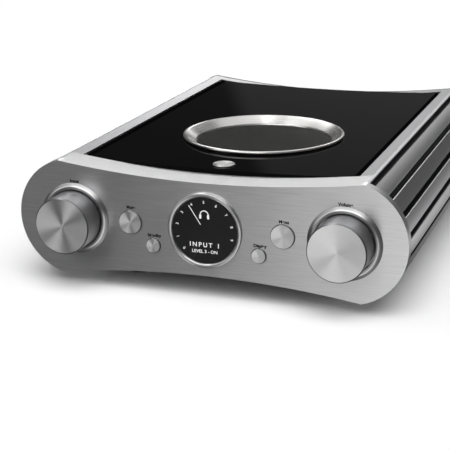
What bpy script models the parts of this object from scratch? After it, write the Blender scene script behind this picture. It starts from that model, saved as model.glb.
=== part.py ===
"""Hi-fi headphone amplifier with a dog-bone front, two knobs, a round display and a vented lid.

Metres, +Z up. X runs left to right across the front, Y runs from the front to the back, and
the origin is at the floor, in the middle of the object's box.
"""

import math

import bmesh
import bpy
from mathutils import Matrix, Vector

# ---------------------------------------------------------------- driving dimensions
WIDTH = 0.325
END_RADIUS = 0.0495
WAIST = 0.0383
WAIST_RADIUS = 0.882
CENTRE_Z = 0.0573
GAP = 0.0003
OVER_ALL = 0.12

KNOB_FACE_Y = -0.210
FRONT_Y = -0.185
REAR_Y = 0.195
SOCKET_END_Y = 0.210

PANEL_THICK = 0.0085
REAR_THICK = 0.003
SIDE_WALL = 0.0105
WAIST_WALL = 0.007
BAND_DEPTH = 0.0287

SLOT_STEP = math.radians(19.4)
SLOTS_PER_SIDE = 8
SLOT_WIDTH = 0.0043
SLOT_DEPTH = 0.007

LID_HALF = 0.117
LID_MIDDLE = 0.0419
LID_RADIUS = 2.5
LID_THICK = 0.004
LID_REAR_Y = 0.180
LID_LEDGE = 0.013
RING_Y = FRONT_Y + 0.1498
RING_HOLE = 0.0668
RING_RADIUS = 0.0711
RING_BORE = 0.0570
RING_TOP = 0.0453
RING_LIP = 0.0430
RING_BOTTOM = 0.0352
MESH_TOP = 0.0386
MESH_RADIUS = 0.0595
BADGE_RADIUS = 0.0092
BADGE_HEIGHT = 0.0008
BADGE_Y = FRONT_Y + 0.0455

BASE_HALF = 0.105
BASE_THICK = 0.0025
BASE_FRONT_Y = -0.160
BASE_REAR_Y = 0.172
BASE_LEDGE = 0.012
BASE_BOTTOM_Z = CENTRE_Z - WAIST
BASE_TOP_Z = BASE_BOTTOM_Z + BASE_THICK
FOOT_RADIUS = 0.019
FOOT_HOLE_RADIUS = 0.0024
PILLAR_RADIUS = 0.0035
FOOT_X = 0.080
FOOT_Y = (-0.128, 0.140)

KNOB_X = 0.113
KNOB_RADIUS = 0.0234
KNOB_CHAMFER = 0.0009
KNOB_POCKET_RADIUS = 0.0243
KNOB_POCKET_DEPTH = 0.004
SHAFT_RADIUS = 0.003
SHAFT_GRIP = 0.012
BUSH_RADIUS = 0.0045
COLLAR_RADIUS = 0.0297
COLLAR_HEIGHT = 0.0022

DISPLAY_HOLE = 0.029
BEZEL_RADIUS = 0.0312
BEZEL_HEIGHT = 0.0024
WINDOW_RADIUS = 0.027

LARGE_BUTTON = (0.0638, 0.0009, 0.0098)
SMALL_BUTTON = (0.0444, -0.0167, 0.0061)
BUTTON_PROUD = 0.0015
BUTTON_TRAVEL = 0.001
BUTTON_SLACK = 0.00035
BOARD_Y = FRONT_Y + 0.018
BOARD_THICK = 0.0016
FRONT_BOARD_HALF = 0.078
FRONT_BOARD_UP = 0.0145
FRONT_BOARD_DOWN = 0.0235
SWITCH_HALF = 0.003
DISPLAY_BOARD_HALF_WIDTH = 0.027
DISPLAY_BOARD_HALF_HEIGHT = 0.024
SCREEN_RADIUS = 0.025

MAIN_BOARD_Z = 0.0322
MAIN_BOARD_TOP = MAIN_BOARD_Z + BOARD_THICK
MAIN_BOARD_X = (-0.100, 0.100)
MAIN_BOARD_Y = (-0.042, 0.158)
INPUT_BOARD_Z = 0.0702
TOROID_AT = (-0.058, -0.095)
TOROID_OUTER = 0.043
TOROID_INNER = 0.016
TOROID_HEIGHT = 0.036
TOROID_HOLE_RADIUS = 0.0036
CAPACITOR_RADIUS = 0.0125
CAPACITOR_HEIGHT = 0.032

INLET_X = 0.117
INLET_WIDTH = 0.0270
INLET_HEIGHT = 0.0560
INLET_DEPTH = 0.024
FLANGE = 0.0025
IEC_Z = CENTRE_Z - 0.0035
ROCKER_Z = CENTRE_Z + 0.0170
FUSE_Z = CENTRE_Z - 0.0205
ROCKER_TILT = math.radians(7.5)
XLR_X = (0.030, 0.066)
XLR_BARREL = 0.0115
RCA_BLOCK_X = {"line_output_sockets": -0.006, "line_input_sockets": -0.040}
RCA_PITCH = 0.014
RCA_BODY_HALF = 0.013
COAX_AT = (-0.068, CENTRE_Z + 0.012)
OPTICAL_AT = (-0.068, CENTRE_Z - 0.012)
USB_AT = (-0.088, CENTRE_Z - 0.001)
HEADPHONE_AT = (-0.116, CENTRE_Z)
PANEL_BACK = REAR_Y - REAR_THICK


# ---------------------------------------------------------------- materials
def material(name, colour, roughness, metallic):
    made = bpy.data.materials.new(name)
    made.use_nodes = True
    shader = made.node_tree.nodes["Principled BSDF"]
    shader.inputs["Base Color"].default_value = (*colour, 1.0)
    shader.inputs["Roughness"].default_value = roughness
    shader.inputs["Metallic"].default_value = metallic
    return made


# ---------------------------------------------------------------- shape helpers
def solid(name, bm, skin, parent=None, at=(0.0, 0.0, 0.0)):
    """One named object from a bmesh that is drawn about the point 'at'."""
    bmesh.ops.recalc_face_normals(bm, faces=bm.faces)
    mesh = bpy.data.meshes.new(name)
    bm.to_mesh(mesh)
    bm.free()
    mesh.materials.append(skin)
    mesh.shade_smooth()
    mesh.set_sharp_from_angle(angle=math.radians(35))
    made = bpy.data.objects.new(name, mesh)
    made.location = at
    made.parent = parent
    bpy.context.scene.collection.objects.link(made)
    return made


def combine(made, bm, operation):
    """Adds or takes away the shapes in a bmesh, through a helper object that isn't rendered."""
    helper = solid(f"{made.name}_{operation.lower()}_{len(made.modifiers)}", bm, made.active_material)
    helper.parent = made.parent
    helper.location = made.location
    helper.hide_render = True
    helper.display_type = "WIRE"
    step = made.modifiers.new(operation.title(), "BOOLEAN")
    step.operation = operation
    step.object = helper
    return made


def add_box(bm, low, high):
    low, high = Vector(low), Vector(high)
    middle = Matrix.Translation((low + high) / 2)
    bmesh.ops.create_cube(bm, size=1.0, matrix=middle @ Matrix.Diagonal((*(high - low), 1.0)))


def add_prism(bm, outline, start, end, axis="Y"):
    """A closed outline carried along an axis: (x, z) along Y, (x, y) along Z, (y, z) along X."""
    place = {
        "Y": lambda point, along: (point[0], along, point[1]),
        "Z": lambda point, along: (point[0], point[1], along),
        "X": lambda point, along: (along, point[0], point[1]),
    }[axis]
    near = [bm.verts.new(place(point, start)) for point in outline]
    far = [bm.verts.new(place(point, end)) for point in outline]
    bm.faces.new(near)
    bm.faces.new(far)
    for i in range(len(outline)):
        j = (i + 1) % len(outline)
        bm.faces.new((near[i], near[j], far[j], far[i]))


def circle(radius, steps, centre=(0.0, 0.0)):
    turn = math.tau / steps
    return [
        (centre[0] + radius * math.cos(turn * i), centre[1] + radius * math.sin(turn * i))
        for i in range(steps)
    ]


def add_rod(bm, radius, centre, start, end, axis="Y", steps=24):
    add_prism(bm, circle(radius, steps, centre), start, end, axis)


def add_turned(bm, profile, axis="Y", steps=40, centre=(0.0, 0.0)):
    """A closed profile of (radius, along) points turned about an axis through the centre."""
    rings = []
    for radius, along in profile:
        rim = circle(radius, steps, centre) if radius > 0 else [centre]
        if axis == "Y":
            rings.append([bm.verts.new((a, along, b)) for a, b in rim])
        else:
            rings.append([bm.verts.new((a, b, along)) for a, b in rim])
    pairs = list(zip(rings, rings[1:] + rings[:1]))
    for first, second in pairs:
        if len(first) == 1 and len(second) == 1:
            continue
        for i in range(steps):
            j = (i + 1) % steps
            near = (first[i % len(first)], first[j % len(first)])
            far = (second[j % len(second)], second[i % len(second)])
            bm.faces.new(list(dict.fromkeys(near + far)))


def turned(name, profile, skin, axis="Y", steps=40, parent=None, at=(0.0, 0.0, 0.0)):
    bm = bmesh.new()
    add_turned(bm, profile, axis, steps)
    return solid(name, bm, skin, parent, at)


def rounded_box_outline(half_width, half_height, radius, steps=4, centre=(0.0, 0.0)):
    points = []
    for corner in range(4):
        middle_x = (half_width - radius) * (1 if corner in (0, 3) else -1)
        middle_z = (half_height - radius) * (1 if corner in (0, 1) else -1)
        for i in range(steps + 1):
            angle = math.pi / 2 * (corner + i / steps)
            x = centre[0] + middle_x + radius * math.cos(angle)
            points.append((x, centre[1] + middle_z + radius * math.sin(angle)))
    return points


def case_outline(side_wall=0.0, waist_wall=0.0, slots=False, steps=18):
    """The dog-bone: two round ends joined by hollow arcs, as (x, z) about the panel's middle."""
    end_x = WIDTH / 2 - END_RADIUS
    radius = END_RADIUS - side_wall
    arc = WAIST_RADIUS + waist_wall
    arc_z = WAIST - waist_wall + arc
    reach = math.hypot(end_x, arc_z)
    along = (radius**2 - arc**2 + reach**2) / (2 * reach)
    aside = math.sqrt(radius**2 - along**2)
    corner_x = end_x + (aside * arc_z - along * end_x) / reach
    corner_z = (along * arc_z + aside * end_x) / reach
    end_angle = math.atan2(corner_z, corner_x - end_x)
    right_end = []
    if slots:
        for k in range(SLOTS_PER_SIDE):
            angle = (k - (SLOTS_PER_SIDE - 1) / 2) * SLOT_STEP
            right_end += slot_points(end_x, radius, angle)
            if k < SLOTS_PER_SIDE - 1:
                middle = angle + SLOT_STEP / 2
                rib = [middle + SLOT_STEP * part for part in (-0.22, 0.0, 0.22)]
                right_end += [(end_x + radius * math.cos(a), radius * math.sin(a)) for a in rib]
        first = (end_x + radius * math.cos(end_angle), -radius * math.sin(end_angle))
        right_end = [first, *right_end, (first[0], -first[1])]
    else:
        for i in range(steps + 1):
            a = end_angle * (2 * i / steps - 1)
            right_end.append((end_x + radius * math.cos(a), radius * math.sin(a)))
    sweep = math.asin(corner_x / arc)
    hollow = []
    for i in range(1, steps):
        a = sweep * (1 - 2 * i / steps)
        hollow.append((arc * math.sin(a), arc_z - arc * math.cos(a)))
    top_half = right_end + hollow
    return top_half + [(-x, -z) for x, z in top_half]


def slot_points(end_x, radius, angle):
    """The four corners of one cooling slot, which is cut straight in towards the end's centre."""
    out = Vector((math.cos(angle), math.sin(angle)))
    across = Vector((-math.sin(angle), math.cos(angle))) * (SLOT_WIDTH / 2)
    mouth = math.sqrt(radius**2 - (SLOT_WIDTH / 2) ** 2)
    floor = radius - SLOT_DEPTH
    corners = (out * mouth - across, out * floor - across, out * floor + across, out * mouth + across)
    return [(end_x + corner.x, corner.y) for corner in corners]


def at_panel(points):
    return [(x, z + CENTRE_Z) for x, z in points]


def lid_arc(offset, half, steps=14):
    """Points across the lid's shallow hollow, from left to right, offset up from its top face."""
    xs = [half * (2 * i / steps - 1) for i in range(steps + 1)]
    return [(x, CENTRE_Z + LID_MIDDLE + offset + x * x / (2 * LID_RADIUS)) for x in xs]


def joint_empty(name, at):
    """An empty on a joint's axis, which the moving pieces hang from."""
    made = bpy.data.objects.new(name, None)
    made.empty_display_size = 0.01
    made.location = at
    bpy.context.scene.collection.objects.link(made)
    return made


# ---------------------------------------------------------------- casework
def make_front_panel(skin):
    bm = bmesh.new()
    add_prism(bm, at_panel(case_outline()), FRONT_Y, FRONT_Y + PANEL_THICK)
    panel = solid("front_panel", bm, skin)
    past = 0.002
    back = FRONT_Y + PANEL_THICK + past
    holes = bmesh.new()
    add_rod(holes, DISPLAY_HOLE, (0.0, CENTRE_Z), FRONT_Y - past, back, steps=36)
    for side in (-1, 1):
        centre = (side * KNOB_X, CENTRE_Z)
        pocket = [
            (0.0, FRONT_Y - past),
            (KNOB_POCKET_RADIUS, FRONT_Y - past),
            (KNOB_POCKET_RADIUS, FRONT_Y + KNOB_POCKET_DEPTH),
            (BUSH_RADIUS + GAP, FRONT_Y + KNOB_POCKET_DEPTH),
            (BUSH_RADIUS + GAP, back),
            (0.0, back),
        ]
        add_turned(holes, pocket, steps=32, centre=centre)
        for x, z, radius in (LARGE_BUTTON, SMALL_BUTTON):
            add_rod(holes, radius + GAP, (side * x, CENTRE_Z + z), FRONT_Y - past, back, steps=20)
    combine(panel, holes, "DIFFERENCE")


def make_outer_case(skin):
    start = FRONT_Y + PANEL_THICK + GAP
    end = PANEL_BACK - GAP
    bm = bmesh.new()
    add_prism(bm, at_panel(case_outline(slots=True)), start, end)
    case = solid("outer_case", bm, skin)
    past = 0.01
    inside = bmesh.new()
    add_prism(inside, at_panel(case_outline(SIDE_WALL, WAIST_WALL, steps=16)), start - past, end + past)
    combine(case, inside, "DIFFERENCE")
    above = [(LID_HALF, OVER_ALL), (-LID_HALF, OVER_ALL)]
    pocket = bmesh.new()
    add_prism(pocket, lid_arc(-LID_THICK - GAP, LID_HALF) + above, FRONT_Y + BAND_DEPTH, LID_REAR_Y + GAP)
    combine(case, pocket, "DIFFERENCE")
    hatch = bmesh.new()
    half = LID_HALF - LID_LEDGE
    low = (-half, FRONT_Y + BAND_DEPTH + LID_LEDGE, CENTRE_Z)
    add_box(hatch, low, (half, LID_REAR_Y - LID_LEDGE, OVER_ALL))
    half = BASE_HALF - BASE_LEDGE
    low = (-half, BASE_FRONT_Y + BASE_LEDGE, 0.0)
    add_box(hatch, low, (half, BASE_REAR_Y - BASE_LEDGE, CENTRE_Z - 0.01))
    combine(case, hatch, "DIFFERENCE")
    seat = bmesh.new()
    low = (-BASE_HALF - GAP, BASE_FRONT_Y - GAP, 0.0)
    add_box(seat, low, (BASE_HALF + GAP, BASE_REAR_Y + GAP, BASE_TOP_Z + GAP))
    combine(case, seat, "DIFFERENCE")


def make_lid(panel_skin, metal_skin, mesh_skin, badge_skin):
    half = LID_HALF - GAP
    bottom = lid_arc(-LID_THICK, half)
    top = lid_arc(0.0, half)
    bm = bmesh.new()
    add_prism(bm, bottom + top[::-1], FRONT_Y + BAND_DEPTH + GAP, LID_REAR_Y)
    lid = solid("lid_panel", bm, panel_skin)
    hole = bmesh.new()
    add_rod(hole, RING_HOLE, (0.0, RING_Y), CENTRE_Z, OVER_ALL, axis="Z", steps=40)
    combine(lid, hole, "DIFFERENCE")

    neck = RING_HOLE - GAP
    seat = MESH_RADIUS + GAP
    profile = [
        (neck, RING_BOTTOM),
        (neck, RING_LIP),
        (RING_RADIUS - 0.0006, RING_LIP),
        (RING_RADIUS, RING_LIP + 0.0006),
        (RING_RADIUS - 0.0002, RING_TOP - 0.0005),
        (RING_RADIUS - 0.0009, RING_TOP),
        (RING_RADIUS - 0.0026, RING_TOP),
        (0.0602, MESH_TOP + 0.0008),
        (seat, MESH_TOP),
        (seat, MESH_TOP - 0.0016),
        (RING_BORE, MESH_TOP - 0.0016),
        (RING_BORE, RING_BOTTOM),
    ]
    turned("lid_ring", profile, metal_skin, "Z", 40, at=(0.0, RING_Y, CENTRE_Z))
    underside = MESH_TOP - 0.0013
    disc = [(0.0, MESH_TOP), (MESH_RADIUS, MESH_TOP), (MESH_RADIUS, underside), (0.0, underside)]
    turned("lid_mesh", disc, mesh_skin, "Z", 40, at=(0.0, RING_Y, CENTRE_Z))
    badge = [
        (0.0, BADGE_HEIGHT),
        (BADGE_RADIUS - 0.0004, BADGE_HEIGHT),
        (BADGE_RADIUS, BADGE_HEIGHT / 2),
        (BADGE_RADIUS, 0.0),
        (0.0, 0.0),
    ]
    turned("lid_badge", badge, badge_skin, "Z", 20, at=(0.0, BADGE_Y, CENTRE_Z + LID_MIDDLE + GAP))


def make_base(plate_skin, foot_skin, screw_skin):
    bm = bmesh.new()
    add_box(bm, (-BASE_HALF, BASE_FRONT_Y, BASE_BOTTOM_Z), (BASE_HALF, BASE_REAR_Y, BASE_TOP_Z))
    plate = solid("base_plate", bm, plate_skin)
    pillars = bmesh.new()
    for x in MAIN_BOARD_X:
        for y in MAIN_BOARD_Y:
            inset = 0.007
            centre = (x - math.copysign(inset, x), y - math.copysign(inset, y))
            add_rod(pillars, PILLAR_RADIUS, centre, BASE_TOP_Z - 0.001, MAIN_BOARD_Z - GAP, "Z", 12)
    combine(plate, pillars, "UNION")
    holes = bmesh.new()
    for x in (-FOOT_X, FOOT_X):
        for y in FOOT_Y:
            add_rod(holes, FOOT_HOLE_RADIUS, (x, y), 0.0, MAIN_BOARD_Z, "Z", 16)
    add_rod(holes, TOROID_HOLE_RADIUS, TOROID_AT, 0.0, MAIN_BOARD_Z, "Z", 16)
    combine(plate, holes, "DIFFERENCE")

    top = BASE_BOTTOM_Z - GAP
    foot = [
        (0.0052, 0.0),
        (FOOT_RADIUS - 0.0025, 0.0),
        (FOOT_RADIUS - 0.0015, 0.0015),
        (FOOT_RADIUS, 0.004),
        (FOOT_RADIUS, top - 0.001),
        (FOOT_RADIUS - 0.001, top),
        (FOOT_HOLE_RADIUS, top),
        (FOOT_HOLE_RADIUS, 0.008),
        (0.0052, 0.008),
    ]
    screw = [
        (0.0, 0.0045),
        (0.0035, 0.0045),
        (0.0042, 0.0052),
        (0.0042, 0.0077),
        (0.0020, 0.0077),
        (0.0020, BASE_TOP_Z),
        (0.0, BASE_TOP_Z),
    ]
    for side, x in (("left", -FOOT_X), ("right", FOOT_X)):
        for end, y in zip(("front", "rear"), FOOT_Y):
            turned(f"foot_{end}_{side}", foot, foot_skin, "Z", 20, at=(x, y, 0.0))
            turned(f"foot_screw_{end}_{side}", screw, screw_skin, "Z", 8, at=(x, y, 0.0))


def make_rear_panel(skin):
    bm = bmesh.new()
    add_prism(bm, at_panel(case_outline()), PANEL_BACK, REAR_Y)
    panel = solid("rear_panel", bm, skin)
    start, end = PANEL_BACK - 0.002, REAR_Y + 0.002
    holes = bmesh.new()
    half_width, half_height = INLET_WIDTH / 2 + GAP, INLET_HEIGHT / 2 + GAP
    low = (INLET_X - half_width, start, CENTRE_Z - half_height)
    add_box(holes, low, (INLET_X + half_width, end, CENTRE_Z + half_height))
    for x in XLR_X:
        add_rod(holes, XLR_BARREL + GAP, (x, CENTRE_Z), start, end, steps=24)
    for x in RCA_BLOCK_X.values():
        half = RCA_BODY_HALF + GAP
        add_box(holes, (x - half, start, CENTRE_Z - half), (x + half, end, CENTRE_Z + half))
    add_rod(holes, 0.0053, COAX_AT, start, end, steps=24)
    for (x, z), half_x, half_z in ((OPTICAL_AT, 0.0056, 0.0056), (USB_AT, 0.0064, 0.0060)):
        add_box(holes, (x - half_x, start, z - half_z), (x + half_x, end, z + half_z))
    add_rod(holes, 0.0063, HEADPHONE_AT, start, end, steps=24)
    combine(panel, holes, "DIFFERENCE")


# ---------------------------------------------------------------- front controls
def make_knob(side, name, metal, shaft_skin, encoder_skin, nut_skin):
    """One knob with its shaft on the spin axis, and the fixed encoder, nut and collar behind it."""
    x = side * KNOB_X
    axis = joint_empty(f"{name}_axis", (x, FRONT_Y, CENTRE_Z))
    face = KNOB_FACE_Y - FRONT_Y
    back = 0.0008
    bore = SHAFT_RADIUS + GAP
    knob = [
        (0.0, face),
        (KNOB_RADIUS - KNOB_CHAMFER, face),
        (KNOB_RADIUS, face + KNOB_CHAMFER),
        (KNOB_RADIUS, back),
        (bore, back),
        (bore, face + SHAFT_GRIP),
        (0.0, face + SHAFT_GRIP),
    ]
    turned(f"{name}_knob", knob, metal, steps=40, parent=axis)
    body_front = PANEL_THICK + GAP
    body_back = body_front + 0.010
    shaft = [
        (0.0, face + SHAFT_GRIP + GAP),
        (SHAFT_RADIUS, face + SHAFT_GRIP + GAP),
        (SHAFT_RADIUS, body_back - 0.004),
        (0.0, body_back - 0.004),
    ]
    turned(f"{name}_shaft", shaft, shaft_skin, steps=16, parent=axis)

    fixed = (x, FRONT_Y, CENTRE_Z)
    bm = bmesh.new()
    half = 0.008
    add_box(bm, (-half, body_front, -half), (half, body_back, half))
    encoder = solid(f"{name}_encoder", bm, encoder_skin, at=fixed)
    bush = bmesh.new()
    bush_front = KNOB_POCKET_DEPTH - 0.0026
    add_rod(bush, BUSH_RADIUS, (0.0, 0.0), bush_front, body_front + 0.001, steps=20)
    combine(encoder, bush, "UNION")
    hole = bmesh.new()
    add_rod(hole, SHAFT_RADIUS + 0.00012, (0.0, 0.0), bush_front - 0.001, body_back - 0.0035, steps=16)
    combine(encoder, hole, "DIFFERENCE")

    bm = bmesh.new()
    nut_back = KNOB_POCKET_DEPTH - GAP
    add_rod(bm, 0.0075, (0.0, 0.0), nut_back - 0.002, nut_back, steps=6)
    nut = solid(f"{name}_encoder_nut", bm, nut_skin, at=fixed)
    hole = bmesh.new()
    add_rod(hole, BUSH_RADIUS + GAP, (0.0, 0.0), 0.0, PANEL_THICK, steps=20)
    combine(nut, hole, "DIFFERENCE")

    collar = [
        (KNOB_POCKET_RADIUS, -GAP),
        (KNOB_POCKET_RADIUS, -COLLAR_HEIGHT + 0.0004),
        (KNOB_POCKET_RADIUS + 0.0004, -COLLAR_HEIGHT),
        (0.0266, -COLLAR_HEIGHT),
        (0.0272, -COLLAR_HEIGHT + 0.0003),
        (COLLAR_RADIUS, -GAP - 0.0003),
        (COLLAR_RADIUS, -GAP),
    ]
    turned(f"{name}_knob_collar", collar, metal, steps=32, at=fixed)


def make_button(name, x, z, radius, skin):
    """A round button with a flange behind the panel that keeps it in, and a stem for its switch."""
    head_back = PANEL_THICK + BUTTON_SLACK
    profile = [
        (0.0, -BUTTON_PROUD),
        (radius - 0.0005, -BUTTON_PROUD),
        (radius, -BUTTON_PROUD + 0.0005),
        (radius, head_back),
        (radius + 0.0013, head_back),
        (radius + 0.0013, head_back + 0.001),
        (0.0022, head_back + 0.001),
        (0.0022, head_back + 0.0028),
        (0.0, head_back + 0.0028),
    ]
    turned(name, profile, skin, steps=20, at=(x, FRONT_Y, CENTRE_Z + z))


def make_display(bezel_skin, window_skin, module_skin):
    middle = (0.0, FRONT_Y, CENTRE_Z)
    spigot = DISPLAY_HOLE - GAP
    bore = WINDOW_RADIUS + GAP
    bezel = [
        (BEZEL_RADIUS, -GAP),
        (BEZEL_RADIUS, -BEZEL_HEIGHT + 0.0010),
        (BEZEL_RADIUS - 0.0009, -BEZEL_HEIGHT),
        (bore + 0.0010, -BEZEL_HEIGHT),
        (bore, -BEZEL_HEIGHT + 0.0008),
        (bore, 0.0003),
        (bore - 0.0016, 0.0003),
        (bore - 0.0016, 0.0070),
        (spigot, 0.0070),
        (spigot, -GAP),
    ]
    turned("display_bezel", bezel, bezel_skin, steps=36, at=middle)
    window = [(0.0, -0.0015), (WINDOW_RADIUS, -0.0015), (WINDOW_RADIUS, 0.0), (0.0, 0.0)]
    turned("display_window", window, window_skin, steps=36, at=middle)

    bm = bmesh.new()
    board_front = PANEL_THICK + 0.0005
    half_width, half_height = DISPLAY_BOARD_HALF_WIDTH, DISPLAY_BOARD_HALF_HEIGHT
    low = (-half_width, board_front, -half_height)
    add_box(bm, low, (half_width, board_front + BOARD_THICK, half_height))
    module = solid("display_module", bm, module_skin, at=middle)
    screen = bmesh.new()
    add_rod(screen, SCREEN_RADIUS, (0.0, 0.0), GAP, board_front + 0.0005, steps=24)
    combine(module, screen, "UNION")


def make_front_board(skin):
    """The board behind the buttons, with one push switch in line with each stem."""
    bm = bmesh.new()
    low = (-FRONT_BOARD_HALF, BOARD_Y, CENTRE_Z - FRONT_BOARD_DOWN)
    add_box(bm, low, (FRONT_BOARD_HALF, BOARD_Y + BOARD_THICK, CENTRE_Z + FRONT_BOARD_UP))
    board = solid("front_board", bm, skin)
    stem_end = FRONT_Y + PANEL_THICK + BUTTON_SLACK + 0.0028
    plunger = stem_end + BUTTON_TRAVEL + GAP
    bodies = bmesh.new()
    plungers = bmesh.new()
    for x, z, _ in (LARGE_BUTTON, SMALL_BUTTON):
        for side in (-1, 1):
            low = (side * x - SWITCH_HALF, BOARD_Y - 0.0035, CENTRE_Z + z - SWITCH_HALF)
            high = (side * x + SWITCH_HALF, BOARD_Y + 0.0004, CENTRE_Z + z + SWITCH_HALF)
            add_box(bodies, low, high)
            centre = (side * x, CENTRE_Z + z)
            add_rod(plungers, 0.0015, centre, plunger, BOARD_Y - 0.0033, steps=12)
    combine(board, bodies, "UNION")
    combine(board, plungers, "UNION")


# ---------------------------------------------------------------- inside
def make_transformer(winding_skin, steel_skin):
    """A ring-core mains transformer, held to the base by a dished washer and a bolt."""
    low = BASE_TOP_Z + GAP
    high = low + TOROID_HEIGHT
    shoulder = 0.007
    coil = []
    corners = (
        (TOROID_OUTER - shoulder, low + shoulder, -90),
        (TOROID_OUTER - shoulder, high - shoulder, 0),
        (TOROID_INNER + shoulder, high - shoulder, 90),
        (TOROID_INNER + shoulder, low + shoulder, 180),
    )
    for radius, z, start in corners:
        for i in range(3):
            angle = math.radians(start + 45 * i)
            coil.append((radius + shoulder * math.cos(angle), z + shoulder * math.sin(angle)))
    turned("transformer_coil", coil, winding_skin, "Z", 20, at=(*TOROID_AT, 0.0))
    washer = [
        (0.0036, high + GAP),
        (0.028, high + GAP),
        (0.030, high + 0.0020),
        (0.028, high + 0.0023),
        (0.0036, high + 0.0023),
    ]
    turned("transformer_washer", washer, steel_skin, "Z", 18, at=(*TOROID_AT, 0.0))
    head = high + 0.0026
    bolt = [
        (0.0, BASE_BOTTOM_Z + GAP),
        (0.003, BASE_BOTTOM_Z + GAP),
        (0.003, head),
        (0.006, head),
        (0.006, head + 0.004),
        (0.0, head + 0.004),
    ]
    turned("transformer_bolt", bolt, steel_skin, "Z", 12, at=(*TOROID_AT, 0.0))


def make_main_board(skin):
    bm = bmesh.new()
    low = (MAIN_BOARD_X[0], MAIN_BOARD_Y[0], MAIN_BOARD_Z)
    add_box(bm, low, (MAIN_BOARD_X[1], MAIN_BOARD_Y[1], MAIN_BOARD_TOP))
    board = solid("main_board", bm, skin)
    parts = bmesh.new()
    sunk = MAIN_BOARD_TOP - 0.0005
    for i in range(4):
        x = -0.030 + 0.020 * i
        add_box(parts, (x - 0.0075, 0.095, sunk), (x + 0.0075, 0.115, MAIN_BOARD_TOP + 0.010))
        add_box(parts, (x - 0.005, 0.125, sunk), (x + 0.005, 0.135, MAIN_BOARD_TOP + 0.002))
    add_box(parts, (-0.0125, -0.036, sunk), (0.0125, -0.028, MAIN_BOARD_TOP + 0.006))
    combine(board, parts, "UNION")


def make_capacitors(skin):
    low = MAIN_BOARD_TOP + GAP
    high = low + CAPACITOR_HEIGHT
    sleeve = [
        (0.0, high - 0.0004),
        (CAPACITOR_RADIUS - 0.002, high - 0.0004),
        (CAPACITOR_RADIUS - 0.001, high),
        (CAPACITOR_RADIUS, high - 0.001),
        (CAPACITOR_RADIUS, low + 0.004),
        (CAPACITOR_RADIUS - 0.0007, low + 0.0033),
        (CAPACITOR_RADIUS, low + 0.0026),
        (CAPACITOR_RADIUS, low),
        (0.0, low),
    ]
    for i in range(4):
        at = (-0.042 + 0.028 * i, -0.004, 0.0)
        turned(f"reservoir_capacitor_{i + 1}", sleeve, skin, "Z", 14, at=at)


def make_heat_sinks(skin):
    """Two finned blocks that cool the output stage, one on each side of the board."""
    low = MAIN_BOARD_TOP + GAP
    fins, pitch, fin, spine, height = 5, 0.007, 0.002, 0.004, 0.034
    for name, side in (("left", -1), ("right", 1)):
        outline = [(0.0, low), (0.0, low + height)]
        outline.append((spine, low + height))
        for i in range(fins):
            top = low + height - 0.001 - i * pitch
            outline += [(spine, top), (spine + 0.014, top), (spine + 0.014, top - fin), (spine, top - fin)]
        outline.append((spine, low))
        outline = [(side * (0.074 + x), z) for x, z in outline]
        bm = bmesh.new()
        add_prism(bm, outline, 0.030, 0.088)
        solid(f"heat_sink_{name}", bm, skin)


def make_input_board(skin):
    """The digital input board, carried behind the sockets on four posts from the main board."""
    bm = bmesh.new()
    low = (-0.096, 0.120, INPUT_BOARD_Z)
    add_box(bm, low, (0.020, 0.168, INPUT_BOARD_Z + BOARD_THICK))
    board = solid("input_board", bm, skin)
    posts = bmesh.new()
    for x in (-0.091, -0.020):
        for y in (0.128, 0.150):
            add_rod(posts, 0.003, (x, y), MAIN_BOARD_TOP + GAP, INPUT_BOARD_Z + 0.0005, "Z", 10)
    chips = bmesh.new()
    for i in range(3):
        x = -0.075 + 0.030 * i
        low = (x - 0.007, 0.134, INPUT_BOARD_Z + 0.001)
        add_box(chips, low, (x + 0.007, 0.148, INPUT_BOARD_Z + 0.004))
    combine(board, posts, "UNION")
    combine(board, chips, "UNION")


def make_ribbon_cable(skin):
    """The flat cable that loops from the front board down to the header on the main board."""
    start_y = BOARD_Y + BOARD_THICK + GAP
    end_y = -0.032
    top_z = CENTRE_Z - 0.008
    header_z = MAIN_BOARD_TOP + 0.006 + GAP
    thick = 0.0008
    path = [Vector((start_y, top_z)), Vector((start_y + 0.010, top_z))]
    steps = 8
    begin, finish = Vector((start_y + 0.020, top_z)), Vector((end_y - 0.020, header_z + 0.016))
    for i in range(steps + 1):
        part = i / steps
        blend = (1 - math.cos(math.pi * part)) / 2
        path.append(Vector((begin.x + (finish.x - begin.x) * part, begin.y + (finish.y - begin.y) * blend)))
    bend = 0.008
    middle = Vector((end_y - bend, finish.y - bend))
    for i in range(1, 5):
        angle = math.pi / 2 * (1 - i / 4)
        path.append(middle + bend * Vector((math.cos(angle), math.sin(angle))))
    path.append(Vector((end_y, header_z)))
    upper, lower = [], []
    for i, point in enumerate(path):
        ahead = path[min(i + 1, len(path) - 1)] - path[max(i - 1, 0)]
        normal = Vector((-ahead.y, ahead.x)).normalized() * (thick / 2)
        upper.append(tuple(point + normal))
        lower.append(tuple(point - normal))
    bm = bmesh.new()
    add_prism(bm, upper + lower[::-1], -0.010, 0.010, axis="X")
    solid("ribbon_cable", bm, skin)


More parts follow.
